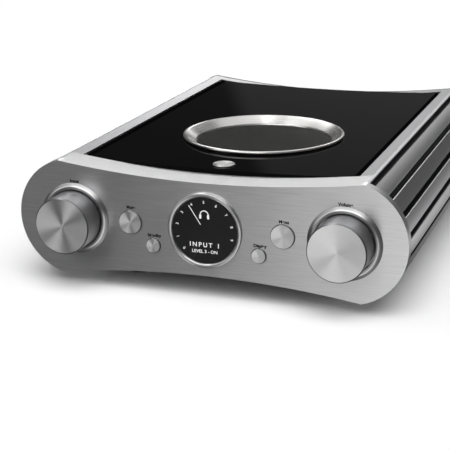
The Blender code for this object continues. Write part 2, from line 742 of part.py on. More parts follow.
# ---------------------------------------------------------------- back panel sockets
def make_power_inlet(skin):
    """Mains inlet with a rocker switch above it and a fuse drawer below it, in one moulding."""
    bm = bmesh.new()
    half_width, half_height = INLET_WIDTH / 2, INLET_HEIGHT / 2
    face = REAR_Y + GAP + FLANGE
    low = (INLET_X - half_width, REAR_Y - INLET_DEPTH, CENTRE_Z - half_height)
    add_box(bm, low, (INLET_X + half_width, face - 0.001, CENTRE_Z + half_height))
    inlet = solid("power_inlet", bm, skin)
    flange = bmesh.new()
    outline = rounded_box_outline(half_width + 0.002, half_height + 0.002, 0.002, 3, (INLET_X, CENTRE_Z))
    add_prism(flange, outline, REAR_Y + GAP, face)
    combine(inlet, flange, "UNION")

    cavity = bmesh.new()
    corner = 0.0045
    left, right = INLET_X - 0.0120, INLET_X + 0.0120
    bottom, top = IEC_Z - 0.0078, IEC_Z + 0.0078
    outline = [
        (left, bottom),
        (right, bottom),
        (right, top - corner),
        (right - corner, top),
        (left + corner, top),
        (left, top - corner),
    ]
    add_prism(cavity, outline, face - 0.0165, face + 0.001)
    low = (INLET_X - 0.0072, face - 0.0140, ROCKER_Z - 0.0092)
    add_box(cavity, low, (INLET_X + 0.0072, face + 0.001, ROCKER_Z + 0.0092))
    low = (INLET_X - 0.0116, face - 0.0190, FUSE_Z - 0.0045)
    add_box(cavity, low, (INLET_X + 0.0116, face + 0.001, FUSE_Z + 0.0045))
    combine(inlet, cavity, "DIFFERENCE")

    blades = bmesh.new()
    for x, z in ((-0.007, -0.0022), (0.007, -0.0022), (0.0, 0.0022)):
        low = (INLET_X + x - 0.001, face - 0.0180, IEC_Z + z - 0.002)
        add_box(blades, low, (INLET_X + x + 0.001, face - 0.002, IEC_Z + z + 0.002))
    combine(inlet, blades, "UNION")


def make_power_rocker(skin):
    """The mains switch's rocker, tilted to off, on a pivot that runs across the inlet."""
    pivot_y = REAR_Y - 0.0015
    axis = joint_empty("power_rocker_axis", (INLET_X, pivot_y, ROCKER_Z))
    half = 0.0082
    face = [(0.0068, -half), (0.0052, 0.0), (0.0068, half)]
    back = [(-0.0010, half), (-0.0050, 0.002), (-0.0050, -0.002), (-0.0010, -half)]
    turn = Matrix.Rotation(ROCKER_TILT, 2)
    outline = [tuple(turn @ Vector(point)) for point in face + back]
    bm = bmesh.new()
    add_prism(bm, outline, -0.0067, 0.0067, axis="X")
    solid("power_rocker", bm, skin, parent=axis)


def make_fuse_drawer(drawer_skin, fuse_skin):
    face = REAR_Y + GAP + FLANGE
    bm = bmesh.new()
    low = (INLET_X - 0.0112, face - 0.0180, FUSE_Z - 0.0041)
    add_box(bm, low, (INLET_X + 0.0112, face + 0.0006, FUSE_Z + 0.0041))
    drawer = solid("fuse_drawer", bm, drawer_skin)
    tray = bmesh.new()
    low = (INLET_X - 0.0103, face - 0.0150, FUSE_Z - 0.0030)
    add_box(tray, low, (INLET_X + 0.0103, face - 0.0085, FUSE_Z + 0.0060))
    combine(drawer, tray, "DIFFERENCE")
    bm = bmesh.new()
    add_rod(bm, 0.0026, (face - 0.01175, FUSE_Z - 0.0001), INLET_X - 0.0100, INLET_X + 0.0100, "X", 16)
    solid("mains_fuse", bm, fuse_skin)


def make_xlr_output(name, x, skin):
    """A three-pin balanced output: a flanged shell with the pins standing in its hollow."""
    face = REAR_Y + GAP + FLANGE
    bm = bmesh.new()
    add_rod(bm, XLR_BARREL, (x, CENTRE_Z), REAR_Y - 0.016, face - 0.001, steps=24)
    shell = solid(name, bm, skin)
    flange = bmesh.new()
    add_prism(flange, rounded_box_outline(0.013, 0.0155, 0.003, 4, (x, CENTRE_Z)), REAR_Y + GAP, face)
    combine(shell, flange, "UNION")
    hollow = bmesh.new()
    add_rod(hollow, 0.0094, (x, CENTRE_Z), face - 0.0150, face + 0.001, steps=24)
    combine(shell, hollow, "DIFFERENCE")
    pins = bmesh.new()
    for angle in (35, 145, 270):
        turn = math.radians(angle)
        centre = (x + 0.0057 * math.cos(turn), CENTRE_Z + 0.0057 * math.sin(turn))
        add_rod(pins, 0.0012, centre, face - 0.0160, face - 0.002, steps=8)
    combine(shell, pins, "UNION")


def add_phono_shell(bm, centre, start):
    add_rod(bm, 0.00415, centre, start, SOCKET_END_Y, steps=14)


def make_phono_block(name, x, skin):
    """Four phono sockets in a square, moulded into one block."""
    face = REAR_Y + GAP + FLANGE
    bm = bmesh.new()
    low = (x - RCA_BODY_HALF, REAR_Y - 0.012, CENTRE_Z - RCA_BODY_HALF)
    add_box(bm, low, (x + RCA_BODY_HALF, face - 0.001, CENTRE_Z + RCA_BODY_HALF))
    block = solid(name, bm, skin)
    half = RCA_PITCH / 2
    centres = [(x + i * half, CENTRE_Z + k * half) for i in (-1, 1) for k in (-1, 1)]
    flange = bmesh.new()
    add_prism(flange, rounded_box_outline(0.015, 0.015, 0.002, 3, (x, CENTRE_Z)), REAR_Y + GAP, face)
    shells = bmesh.new()
    bores = bmesh.new()
    for centre in centres:
        add_phono_shell(shells, centre, face - 0.001)
        add_rod(bores, 0.0016, centre, SOCKET_END_Y - 0.011, SOCKET_END_Y + 0.001, steps=8)
    combine(block, flange, "UNION")
    combine(block, shells, "UNION")
    combine(block, bores, "DIFFERENCE")


def make_coax_socket(skin):
    face = REAR_Y + GAP + 0.002
    front = REAR_Y - 0.012
    profile = [
        (0.0016, SOCKET_END_Y),
        (0.00415, SOCKET_END_Y),
        (0.00415, face),
        (0.0068, face),
        (0.0068, REAR_Y + GAP),
        (0.0050, REAR_Y + GAP),
        (0.0050, front),
        (0.0, front),
        (0.0, SOCKET_END_Y - 0.011),
        (0.0016, SOCKET_END_Y - 0.011),
    ]
    bm = bmesh.new()
    add_turned(bm, profile, steps=16, centre=COAX_AT)
    solid("coax_socket", bm, skin)


def make_square_socket(name, centre, half, hollow, depth, skin):
    """A socket with a square mouth, standing a millimetre out of the rear panel."""
    x, z = centre
    mouth = REAR_Y + 0.001
    bm = bmesh.new()
    add_box(bm, (x - half[0], REAR_Y - 0.015, z - half[1]), (x + half[0], mouth, z + half[1]))
    socket = solid(name, bm, skin)
    space = bmesh.new()
    low = (x - hollow[0], mouth - depth, z - hollow[1])
    add_box(space, low, (x + hollow[0], mouth + 0.001, z + hollow[1]))
    combine(socket, space, "DIFFERENCE")
    return socket


def make_usb_socket(skin):
    socket = make_square_socket("usb_socket", USB_AT, (0.0061, 0.0057), (0.0043, 0.0040), 0.009, skin)
    x, z = USB_AT
    tongue = bmesh.new()
    low = (x - 0.0028, REAR_Y - 0.009, z - 0.0016)
    add_box(tongue, low, (x + 0.0028, REAR_Y - 0.001, z + 0.0016))
    combine(socket, tongue, "UNION")


def make_headphone_socket(skin):
    """The 6.35 mm headphone jack: a blind bore through a threaded nose with a round nut."""
    nose_end = REAR_Y + 0.0045
    front = REAR_Y - 0.030
    bm = bmesh.new()
    x, z = HEADPHONE_AT
    add_box(bm, (x - 0.009, front, z - 0.009), (x + 0.009, PANEL_BACK - GAP, z + 0.009))
    socket = solid("headphone_socket", bm, skin)
    nose = bmesh.new()
    add_turned(
        nose,
        [
            (0.0, nose_end),
            (0.0085, nose_end),
            (0.0095, nose_end - 0.001),
            (0.0095, REAR_Y + GAP),
            (0.0060, REAR_Y + GAP),
            (0.0060, PANEL_BACK - 0.001),
            (0.0, PANEL_BACK - 0.001),
        ],
        steps=24,
        centre=HEADPHONE_AT,
    )
    combine(socket, nose, "UNION")
    bore = bmesh.new()
    add_rod(bore, 0.0033, HEADPHONE_AT, front + 0.002, nose_end + 0.001, steps=20)
    combine(socket, bore, "DIFFERENCE")


# ---------------------------------------------------------------- assembly
def clear_scene():
    for found in list(bpy.data.objects):
        bpy.data.objects.remove(found, do_unlink=True)


def main():
    clear_scene()
    aluminium = material("brushed_aluminium", (0.55, 0.55, 0.56), 0.32, 1.0)
    bright = material("spun_aluminium", (0.72, 0.72, 0.72), 0.25, 1.0)
    black_gloss = material("black_gloss", (0.006, 0.006, 0.006), 0.06, 0.0)
    black_metal = material("black_anodised", (0.02, 0.02, 0.02), 0.45, 0.8)
    vent = material("vent_mesh", (0.04, 0.04, 0.036), 0.5, 0.6)
    enamel = material("badge_metal", (0.75, 0.75, 0.74), 0.3, 1.0)
    glass = material("display_glass", (0.012, 0.012, 0.012), 0.1, 0.0)
    steel = material("zinc_steel", (0.5, 0.5, 0.5), 0.4, 1.0)
    black_plastic = material("black_plastic", (0.02, 0.02, 0.02), 0.5, 0.0)
    board = material("circuit_board", (0.01, 0.09, 0.04), 0.5, 0.0)
    winding = material("transformer_tape", (0.35, 0.05, 0.02), 0.5, 0.0)
    sleeve = material("capacitor_sleeve", (0.015, 0.03, 0.09), 0.35, 0.0)
    brass = material("gilt_brass", (0.75, 0.55, 0.22), 0.25, 1.0)
    ribbon = material("ribbon_grey", (0.4, 0.4, 0.4), 0.6, 0.0)
    rubber = material("foot_rubber", (0.015, 0.015, 0.015), 0.8, 0.0)

    make_front_panel(aluminium)
    make_outer_case(aluminium)
    make_lid(black_gloss, bright, vent, enamel)
    make_base(black_metal, rubber, steel)
    make_rear_panel(black_metal)

    make_knob(-1, "input", bright, steel, black_plastic, steel)
    make_knob(1, "volume", bright, steel, black_plastic, steel)
    x, z, radius = LARGE_BUTTON
    make_button("mute_button", -x, z, radius, bright)
    make_button("menu_button", x, z, radius, bright)
    x, z, radius = SMALL_BUTTON
    make_button("standby_button", -x, z, radius, bright)
    make_button("display_button", x, z, radius, bright)
    make_display(aluminium, glass, black_plastic)
    make_front_board(board)

    make_transformer(winding, steel)
    make_main_board(board)
    make_capacitors(sleeve)
    make_heat_sinks(black_metal)
    make_input_board(board)
    make_ribbon_cable(ribbon)

    make_power_inlet(black_plastic)
    make_power_rocker(black_plastic)
    make_fuse_drawer(black_plastic, enamel)
    make_xlr_output("balanced_output_left", XLR_X[0], steel)
    make_xlr_output("balanced_output_right", XLR_X[1], steel)
    for name, block_x in RCA_BLOCK_X.items():
        make_phono_block(name, block_x, brass)
    make_coax_socket(brass)
    make_square_socket("optical_socket", OPTICAL_AT, (0.0053, 0.0053), (0.0042, 0.0042), 0.009, black_plastic)
    make_usb_socket(steel)
    make_headphone_socket(black_plastic)


main()
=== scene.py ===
"""Looks of the hi-fi headphone amplifier: fine shapes, finishes, studio light and camera.

Metres, +Z up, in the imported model's frame. X runs across the front, Y from the front to the back.
"""

import itertools
import math

import bmesh
import bpy
from mathutils import Matrix, Vector


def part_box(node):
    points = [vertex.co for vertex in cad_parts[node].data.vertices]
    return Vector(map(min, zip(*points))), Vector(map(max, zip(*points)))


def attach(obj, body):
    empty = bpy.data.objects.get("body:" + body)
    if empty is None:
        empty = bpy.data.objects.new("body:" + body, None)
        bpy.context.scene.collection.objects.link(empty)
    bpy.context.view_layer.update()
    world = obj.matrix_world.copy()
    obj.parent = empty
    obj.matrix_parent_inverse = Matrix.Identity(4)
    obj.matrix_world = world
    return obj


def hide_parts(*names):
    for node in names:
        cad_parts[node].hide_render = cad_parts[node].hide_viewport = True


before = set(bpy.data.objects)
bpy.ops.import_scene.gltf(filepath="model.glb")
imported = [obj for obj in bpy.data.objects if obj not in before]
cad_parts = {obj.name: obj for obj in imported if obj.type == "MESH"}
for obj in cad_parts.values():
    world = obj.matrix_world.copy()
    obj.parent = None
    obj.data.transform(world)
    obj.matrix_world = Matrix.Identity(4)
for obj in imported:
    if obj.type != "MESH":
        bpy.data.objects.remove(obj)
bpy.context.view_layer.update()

# ---- places, from the frame
PANEL_LOW, PANEL_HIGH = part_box("front_panel")
CASE_LOW, CASE_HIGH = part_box("outer_case")
LID_LOW, LID_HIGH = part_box("lid_panel")
RING_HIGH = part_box("lid_ring")[1]
REAR_LOW, REAR_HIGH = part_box("rear_panel")
BASE_LOW, BASE_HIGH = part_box("base_plate")

HALF_WIDTH = PANEL_HIGH.x
FRONT_Y = PANEL_LOW.y
CENTRE_Z = (PANEL_LOW.z + PANEL_HIGH.z) / 2
END_RADIUS = 0.0495
END_X = HALF_WIDTH - END_RADIUS
WAIST = CENTRE_Z - BASE_LOW.z
WAIST_RADIUS = 0.882
LID_RADIUS = 2.5
LID_MIDDLE = 0.0419
LID_THICK = 0.004
SIDE_WALL = 0.0105
WAIST_WALL = 0.007
RING_HOLE = 0.0668
# the clearance round a fitted piece, a hair between faces that would meet, and a cutter's overrun
GAP = 0.0003
HAIRLINE = 0.00005
PAST = 0.002

BUTTONS = ("mute_button", "menu_button", "standby_button", "display_button")
BUTTON_FLANGE = 0.0013
DISH = math.tan(math.radians(3.0))
DISPLAY_HOLE = 0.029
POCKET_RADIUS = 0.0243
SHAFT_HOLE = 0.0048
JACK_RADIUS = 0.0033
# how far the lettering stands off its face, and half its thickness
INK, INK_DEPTH = 0.00003, 0.00002

SLOT_STEP = math.radians(19.4)
SLOTS_PER_SIDE = 8
SLOT_WIDTH = 0.0043
SLOT_DEPTH = 0.007
SLOT_LIP = 0.0005
SLOT_CORNER = 0.0008


def space(node):
    """The low corner, the high corner and the middle of a node's box."""
    low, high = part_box(node)
    return low, high, (low + high) / 2


def middle(node):
    return space(node)[2]


def button_radius(button):
    """A button's radius at its face, inside the flange that holds it behind the panel."""
    low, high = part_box(button)
    return (high.x - low.x) / 2 - BUTTON_FLANGE


# ---- node helpers
class Graph:
    """A node tree under construction, with short calls for the nodes that are used most."""

    def __init__(self, tree):
        self.tree = tree

    def node(self, kind, **settings):
        made = self.tree.nodes.new(kind)
        for name, value in settings.items():
            setattr(made, name, value)
        return made

    def link(self, source, target):
        self.tree.links.new(source, target)

    def between(self, factor, low, high, start=0.3, end=0.7, curve="LINEAR"):
        """Maps a factor's range from start to end onto low to high."""
        node = self.node("ShaderNodeMapRange", interpolation_type=curve)
        for name, value in (("From Min", start), ("From Max", end), ("To Min", low), ("To Max", high)):
            node.inputs[name].default_value = value
        self.link(factor, node.inputs["Value"])
        return node.outputs["Result"]

    def maths(self, operation, *values):
        node = self.node("ShaderNodeMath", operation=operation)
        for socket, value in zip(node.inputs, values):
            if isinstance(value, (int, float)):
                socket.default_value = value
            else:
                self.link(value, socket)
        return node.outputs[0]

    def apart(self, vector):
        """A vector's X, Y and Z."""
        node = self.node("ShaderNodeSeparateXYZ")
        self.link(vector, node.inputs[0])
        return node.outputs


class Finish(Graph):
    """A material under construction, on one Principled shader."""

    def __init__(self, name, colour, roughness, metallic=0.0, **sockets):
        self.made = bpy.data.materials.new(name)
        self.made.use_nodes = True
        super().__init__(self.made.node_tree)
        self.shader = self.tree.nodes["Principled BSDF"]
        self.shader.inputs["Base Color"].default_value = (*colour, 1.0)
        self.shader.inputs["Roughness"].default_value = roughness
        self.shader.inputs["Metallic"].default_value = metallic
        for socket, value in sockets.items():
            self.shader.inputs[socket.replace("_", " ")].default_value = value
        self.colour = colour
        self.roughness = roughness

    def place(self):
        """Object coordinates, which are metres on every piece."""
        return self.node("ShaderNodeTexCoord").outputs["Object"]

    def stretched(self, vector, scale):
        node = self.node("ShaderNodeVectorMath", operation="MULTIPLY")
        self.link(vector, node.inputs[0])
        node.inputs[1].default_value = scale
        return node.outputs[0]

    def noise(self, vector, scale=1.0, detail=2.0):
        node = self.node("ShaderNodeTexNoise")
        node.inputs["Scale"].default_value = scale
        node.inputs["Detail"].default_value = detail
        self.link(vector, node.inputs["Vector"])
        return node.outputs["Fac"]

    def shade(self, factor, spread):
        """Varies the base colour's value by plus or minus the spread."""
        low = tuple(c * (1 - spread) for c in self.colour)
        high = tuple(min(1.0, c * (1 + spread)) for c in self.colour)
        self.mix(factor, low, high)

    def mix(self, factor, low, high):
        node = self.node("ShaderNodeMix", data_type="RGBA")
        node.inputs[6].default_value = (*low, 1.0)
        node.inputs[7].default_value = (*high, 1.0)
        self.link(factor, node.inputs[0])
        self.link(node.outputs[2], self.shader.inputs["Base Color"])

    def rough(self, factor, spread):
        value = self.between(factor, self.roughness - spread, self.roughness + spread)
        self.link(value, self.shader.inputs["Roughness"])

    def bump(self, height, distance):
        node = self.node("ShaderNodeBump")
        node.inputs["Distance"].default_value = distance
        self.link(height, node.inputs["Height"])
        self.link(node.outputs["Normal"], self.shader.inputs["Normal"])


def grey(value):
    return (value, value, value)


def on_axis(axis, value, others=0.0):
    """Three numbers: one value on the named axis, and another on the other two."""
    return [value if name == axis else others for name in "XYZ"]


def brushed(name, colour, roughness, along, rough_way, anisotropy=0.75, spread=0.05):
    """Metal brushed along one axis, so its highlights stretch across the brushing."""
    skin = Finish(name, colour, roughness, 1.0, Anisotropic=anisotropy)
    grain = skin.noise(skin.stretched(skin.place(), on_axis(along, 60.0, 2100.0)), detail=1.0)
    band = skin.noise(skin.stretched(skin.place(), on_axis(along, 35.0, 800.0)))
    both = skin.maths("MULTIPLY", skin.maths("ADD", grain, band), 0.5)
    skin.shade(skin.between(both, 0.0, 1.0, 0.32, 0.68), spread)
    skin.rough(grain, roughness * 0.06)
    way = skin.node("ShaderNodeCombineXYZ")
    for axis, value in zip("XYZ", rough_way):
        way.inputs[axis].default_value = value
    skin.link(way.outputs[0], skin.shader.inputs["Tangent"])
    return skin.made


def spun(name, colour, roughness, axis="Y", anisotropy=0.85, spread=0.015):
    """Metal turned on a lathe: fine rings round the axis, so its highlights run out from it."""
    skin = Finish(name, colour, roughness, 1.0, Anisotropic=anisotropy, Anisotropic_Rotation=0.25)
    length = skin.node("ShaderNodeVectorMath", operation="LENGTH")
    skin.link(skin.stretched(skin.place(), on_axis(axis, 0.0, 1.0)), length.inputs[0])
    rings = skin.node("ShaderNodeCombineXYZ")
    skin.link(length.outputs["Value"], rings.inputs["X"])
    skin.link(skin.apart(skin.place())[axis], rings.inputs["Y"])
    groove = skin.noise(skin.stretched(rings.outputs[0], (2400.0, 2400.0, 1.0)), detail=1.0)
    skin.shade(skin.between(groove, 0.0, 1.0), spread)
    skin.rough(groove, roughness * 0.03)
    way = skin.node("ShaderNodeTangent", direction_type="RADIAL", axis=axis)
    skin.link(way.outputs[0], skin.shader.inputs["Tangent"])
    return skin.made


def moulded(name, colour, roughness, grain=1400.0, depth=0.00002, spread=0.12, metallic=0.0, **sockets):
    """Plastic, rubber, paint or cast metal with a fine random texture."""
    skin = Finish(name, colour, roughness, metallic, **sockets)
    cloud = skin.noise(skin.place(), grain / 30)
    skin.shade(skin.between(cloud, 0.0, 1.0), spread)
    skin.rough(cloud, roughness * 0.12)
    skin.bump(skin.noise(skin.place(), grain, 3.0), depth)
    return skin.made


def glossed(name, border):
    """Black lacquered glass. Its long edges have a dull border, beyond the given half width."""
    skin = Finish(name, grey(0.002), 0.03, Specular_IOR_Level=0.02)
    aside = skin.maths("ABSOLUTE", skin.apart(skin.place())["X"])
    shine = skin.between(aside, 0.02, 0.0, border - 0.0003, border + 0.0003)
    skin.link(shine, skin.shader.inputs["Specular IOR Level"])
    cloud = skin.noise(skin.place(), 25.0)
    skin.shade(skin.between(cloud, 0.0, 1.0), 0.1)
    skin.rough(cloud, 0.004)
    return skin.made


def boarded(name):
    """Green solder mask with a faint pattern of copper tracks under it."""
    plain, raised = (0.008, 0.075, 0.032), (0.02, 0.14, 0.06)
    skin = Finish(name, plain, 0.35)
    cells = skin.node("ShaderNodeTexVoronoi", feature="DISTANCE_TO_EDGE", distance="MANHATTAN")
    cells.inputs["Scale"].default_value = 140.0
    skin.link(skin.place(), cells.inputs["Vector"])
    track = skin.between(cells.outputs["Distance"], 1.0, 0.0, 0.03, 0.05)
    skin.mix(track, plain, raised)
    skin.bump(track, 0.00003)
    return skin.made


def wrapped(name, colour, roughness, pitch, axis):
    """Tape or wire laid side by side, as ridges along an axis."""
    skin = Finish(name, colour, roughness)
    wave = skin.node("ShaderNodeTexWave", wave_profile="SIN", bands_direction=axis)
    wave.inputs["Scale"].default_value = 0.314
    skin.link(skin.stretched(skin.place(), on_axis(axis, 1.0 / pitch)), wave.inputs["Vector"])
    skin.shade(wave.outputs["Fac"], 0.2)
    skin.rough(skin.noise(skin.place(), 300.0), roughness * 0.1)
    skin.bump(wave.outputs["Fac"], 0.00008)
    return skin.made


# ---- shape helpers
def beside(a, b, along, axis):
    """A point at a distance along an axis: (a, b) is (x, z) for Y and (x, y) for Z."""
    return (a, along, b) if axis == "Y" else (a, b, along)


def prism(bm, outline, start, end, axis="Y"):
    """A closed outline carried along an axis."""
    near = [bm.verts.new(beside(a, b, start, axis)) for a, b in outline]
    far = [bm.verts.new(beside(a, b, end, axis)) for a, b in outline]
    bm.faces.new(near)
    bm.faces.new(far)
    for i in range(len(outline)):
        j = (i + 1) % len(outline)
        bm.faces.new((near[i], near[j], far[j], far[i]))


def polar(radius, turn, centre=(0.0, 0.0)):
    """The point at a radius and an angle from a centre."""
    return (centre[0] + radius * math.cos(turn), centre[1] + radius * math.sin(turn))


def circle(radius, steps, centre=(0.0, 0.0)):
    return [polar(radius, math.tau / steps * i, centre) for i in range(steps)]


def rod(bm, radius, centre, start, end, axis="Y", steps=64):
    prism(bm, circle(radius, steps, centre), start, end, axis)


def lathe(bm, profile, axis="Y", steps=96, centre=(0.0, 0.0)):
    """A closed profile of (radius, along) points turned about an axis through the centre."""
    rings = []
    for radius, along in profile:
        rim = circle(radius, steps, centre) if radius > 0 else [centre]
        rings.append([bm.verts.new(beside(a, b, along, axis)) for a, b in rim])
    for first, second in zip(rings, rings[1:] + rings[:1]):
        if len(first) == 1 and len(second) == 1:
            continue
        for i in range(steps):
            j = (i + 1) % steps
            near = (first[i % len(first)], first[j % len(first)])
            far = (second[j % len(second)], second[i % len(second)])
            bm.faces.new(list(dict.fromkeys(near + far)))


def softened(points, radius, steps=3):
    """The same outline with each corner rounded. The radius is one number or one for each point."""
    out = []
    for i, here in enumerate(points):
        size = radius[i] if isinstance(radius, (list, tuple)) else radius
        if size <= 0:
            out.append(tuple(here))
            continue
        point = Vector(here)
        before = Vector(points[i - 1]) - point
        after = Vector(points[(i + 1) % len(points)]) - point
        reach = min(size, before.length * 0.45, after.length * 0.45)
        start = point + before.normalized() * reach
        end = point + after.normalized() * reach
        for k in range(steps + 1):
            t = k / steps
            mixed = start * (1 - t) ** 2 + point * 2 * t * (1 - t) + end * t**2
            out.append((mixed.x, mixed.y))
    return out


def box(bm, low, high):
    low, high = Vector(low), Vector(high)
    centre = Matrix.Translation((low + high) / 2)
    bmesh.ops.create_cube(bm, size=1.0, matrix=centre @ Matrix.Diagonal((*(high - low), 1.0)))


def rounded_box(half_width, half_height, radius, steps=6, centre=(0.0, 0.0)):
    corners = [(half_width, half_height), (-half_width, half_height)]
    corners += [(-x, -z) for x, z in corners]
    return softened([(x + centre[0], z + centre[1]) for x, z in corners], radius, steps)


def placed(name, data):
    """A new object in the scene, from its mesh, curve or camera."""
    made = bpy.data.objects.new(name, data)
    bpy.context.scene.collection.objects.link(made)
    return made


def cut(made, bm, operation="DIFFERENCE"):
    """Cuts the shapes in a bmesh out of a piece for good, or adds them with UNION."""
    bmesh.ops.recalc_face_normals(bm, faces=bm.faces)
    mesh = bpy.data.meshes.new("cutter")
    bm.to_mesh(mesh)
    bm.free()
    tool = placed("cutter", mesh)
    tool.matrix_world = made.matrix_world
    step = made.modifiers.new("Cut", "BOOLEAN")
    step.operation = operation
    step.object = tool
    freeze(made)
    bpy.data.objects.remove(tool, do_unlink=True)


def bore(made, radius, centre, start, end, axis="Y", steps=64, operation="DIFFERENCE"):
    """Cuts a round hole into a piece, or adds a round boss with UNION."""
    tool = bmesh.new()
    rod(tool, radius, centre, start, end, axis, steps)
    cut(made, tool, operation)


def freeze(made):
    """Turns a piece's modifiers into its mesh."""
    bpy.context.view_layer.update()
    shaped = made.evaluated_get(bpy.context.evaluated_depsgraph_get())
    mesh = bpy.data.meshes.new_from_object(shaped)
    made.modifiers.clear()
    made.data = mesh


def edged(made, width, steps=2):
    """Breaks a piece's sharp edges, as machining does, and keeps its flat faces flat."""
    step = made.modifiers.new("Edges", "BEVEL")
    step.width = width
    step.segments = steps
    step.limit_method = "ANGLE"
    step.angle_limit = math.radians(32)
    step.harden_normals = True
    freeze(made)


def shaped(name, bm, skin, at=(0.0, 0.0, 0.0), sharp=32):
    """A loose object from a bmesh, which is drawn about the point 'at'."""
    bmesh.ops.remove_doubles(bm, verts=bm.verts, dist=1e-7)
    bmesh.ops.recalc_face_normals(bm, faces=bm.faces)
    mesh = bpy.data.meshes.new(name)
    bm.to_mesh(mesh)
    bm.free()
    mesh.materials.append(skin)
    mesh.shade_smooth()
    mesh.set_sharp_from_angle(angle=math.radians(sharp))
    made = placed(name, mesh)
    made.location = at
    return made


def extruded(name, outline, start, end, skin, axis="Y"):
    """A loose object from an outline carried along an axis."""
    bm = bmesh.new()
    prism(bm, outline, start, end, axis)
    return shaped(name, bm, skin)


def turned(name, profile, skin, at=(0.0, 0.0, 0.0), axis="Y", steps=96, radii=0.0, sharp=32):
    """A loose object turned on a lathe, with its profile's corners rounded by the radii."""
    bm = bmesh.new()
    lathe(bm, softened(profile, radii), axis, steps)
    return shaped(name, bm, skin, at, sharp)


def faces_front(polygon, behind):
    """Whether a face looks forward and lies before a place along Y."""
    return polygon.normal.y < -0.99 and polygon.center.y < behind


def dress(made, skin, chosen, flat=False):
    """Gives a piece's chosen faces a second skin, and leaves them unsmoothed if they are flat."""
    made.data.materials.append(skin)
    for polygon in made.data.polygons:
        if chosen(polygon):
            polygon.material_index = 1
            if flat:
                polygon.use_smooth = False


def fit(made, slot, *nodes, body="case"):
    """Puts a finished piece on its body, in place of CAD nodes; its slot is not used."""
    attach(made, body)
    if nodes:
        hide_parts(*nodes)
    return made


def refined(node, slot, skin, width=0.0003, body="case"):
    """A copy of a CAD solid with broken edges and smooth curves, in the solid's place."""
    bm = bmesh.new()
    bm.from_mesh(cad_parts[node].data)
    bmesh.ops.remove_doubles(bm, verts=bm.verts, dist=1e-6)
    bmesh.ops.dissolve_limit(bm, angle_limit=0.01, verts=bm.verts, edges=bm.edges)
    made = shaped(f"{node}_moulding", bm, skin)
    edged(made, width)
    return fit(made, slot, node, body=body)


# ---- the case's outline
def end_angle(radius, arc, arc_z):
    """Where a round end meets the hollow arcs, as the corner point and its angle on the end."""
    reach = math.hypot(END_X, arc_z)
    along = (radius**2 - arc**2 + reach**2) / (2 * reach)
    aside = math.sqrt(radius**2 - along**2)
    corner_x = END_X + (aside * arc_z - along * END_X) / reach
    corner_z = (along * arc_z + aside * END_X) / reach
    return corner_x, math.atan2(corner_z, corner_x - END_X)


def case_outline(side_wall=0.0, waist_wall=0.0, slots=False, steps=64):
    """The dog-bone: two round ends joined by hollow arcs, as (x, z) about the panel's middle."""
    radius = END_RADIUS - side_wall
    arc = WAIST_RADIUS + waist_wall
    arc_z = WAIST - waist_wall + arc
    corner_x, stop = end_angle(radius, arc, arc_z)
    half_mouth, lip = math.asin(SLOT_WIDTH / 2 / radius), SLOT_LIP / radius
    centres = []
    if slots:
        centres = [(k - (SLOTS_PER_SIDE - 1) / 2) * SLOT_STEP for k in range(SLOTS_PER_SIDE)]
    lows = [-stop] + [centre + half_mouth for centre in centres]
    highs = [centre - half_mouth for centre in centres] + [stop]
    right_end = []
    for k, (low, high) in enumerate(zip(lows, highs)):
        count = max(2, round(steps * (high - low) / (2 * stop)))
        start = low + (lip if k > 0 else 0.0)
        finish = high - (lip if k < len(centres) else 0.0)
        for i in range(count + 1):
            turn = start + (finish - start) * i / count
            right_end.append(polar(radius, turn, (END_X, 0.0)))
        if k < len(centres):
            right_end += slot_points(radius, centres[k])
    sweep = math.asin(corner_x / arc)
    hollow = []
    for i in range(1, steps):
        turn = sweep * (1 - 2 * i / steps)
        hollow.append((arc * math.sin(turn), arc_z - arc * math.cos(turn)))
    top_half = right_end + hollow
    return top_half + [(-x, -z) for x, z in top_half]


def slot_points(radius, angle):
    """One cooling slot, cut straight in, with a small chamfer on each lip and a round floor."""
    out = Vector(polar(1.0, angle))
    across = Vector((-out.y, out.x))
    half = SLOT_WIDTH / 2
    mouth = math.sqrt(radius**2 - half**2) - SLOT_LIP
    floor = radius - SLOT_DEPTH
    low_side = [(mouth, -half), (floor + SLOT_CORNER, -half), (floor, SLOT_CORNER - half)]
    high_side = [(along, -aside) for along, aside in reversed(low_side)]
    placed = [out * along + across * aside for along, aside in low_side + high_side]
    return [(END_X + point.x, point.y) for point in placed]


def at_panel(points):
    return [(x, z + CENTRE_Z) for x, z in points]


def lid_arc(offset, half, steps=72):
    """Points across the lid's shallow hollow, from left to right, offset up from its top face."""
    xs = [half * (2 * i / steps - 1) for i in range(steps + 1)]
    return [(x, CENTRE_Z + LID_MIDDLE + offset + x * x / (2 * LID_RADIUS)) for x in xs]


# ---- casework
def make_front_panel(skin, edge_skin):
    panel = extruded("front_panel_metal", at_panel(case_outline()), FRONT_Y, CASE_LOW.y - HAIRLINE, skin)
    before, behind = FRONT_Y - PAST, CASE_LOW.y + PAST
    holes = bmesh.new()
    rod(holes, DISPLAY_HOLE, (0.0, CENTRE_Z), before, behind, steps=96)
    floor = FRONT_Y + 0.004
    pocket = [(0.0, before), (POCKET_RADIUS, before), (POCKET_RADIUS, floor)]
    pocket += [(SHAFT_HOLE, floor), (SHAFT_HOLE, behind), (0.0, behind)]
    for knob in ("input_knob", "volume_knob"):
        lathe(holes, pocket, centre=(middle(knob).x, CENTRE_Z))
    for button in BUTTONS:
        centre = middle(button)
        rod(holes, button_radius(button) + GAP, (centre.x, centre.z), before, behind)
    cut(panel, holes)
    edged(panel, 0.0003)
    # The panel's edges take the band's skin: brushed across, with its lighter colour as painted light.
    dress(panel, edge_skin, lambda polygon: abs(polygon.normal.y) < 0.5)
    fit(panel, "brushed_aluminium", "front_panel")


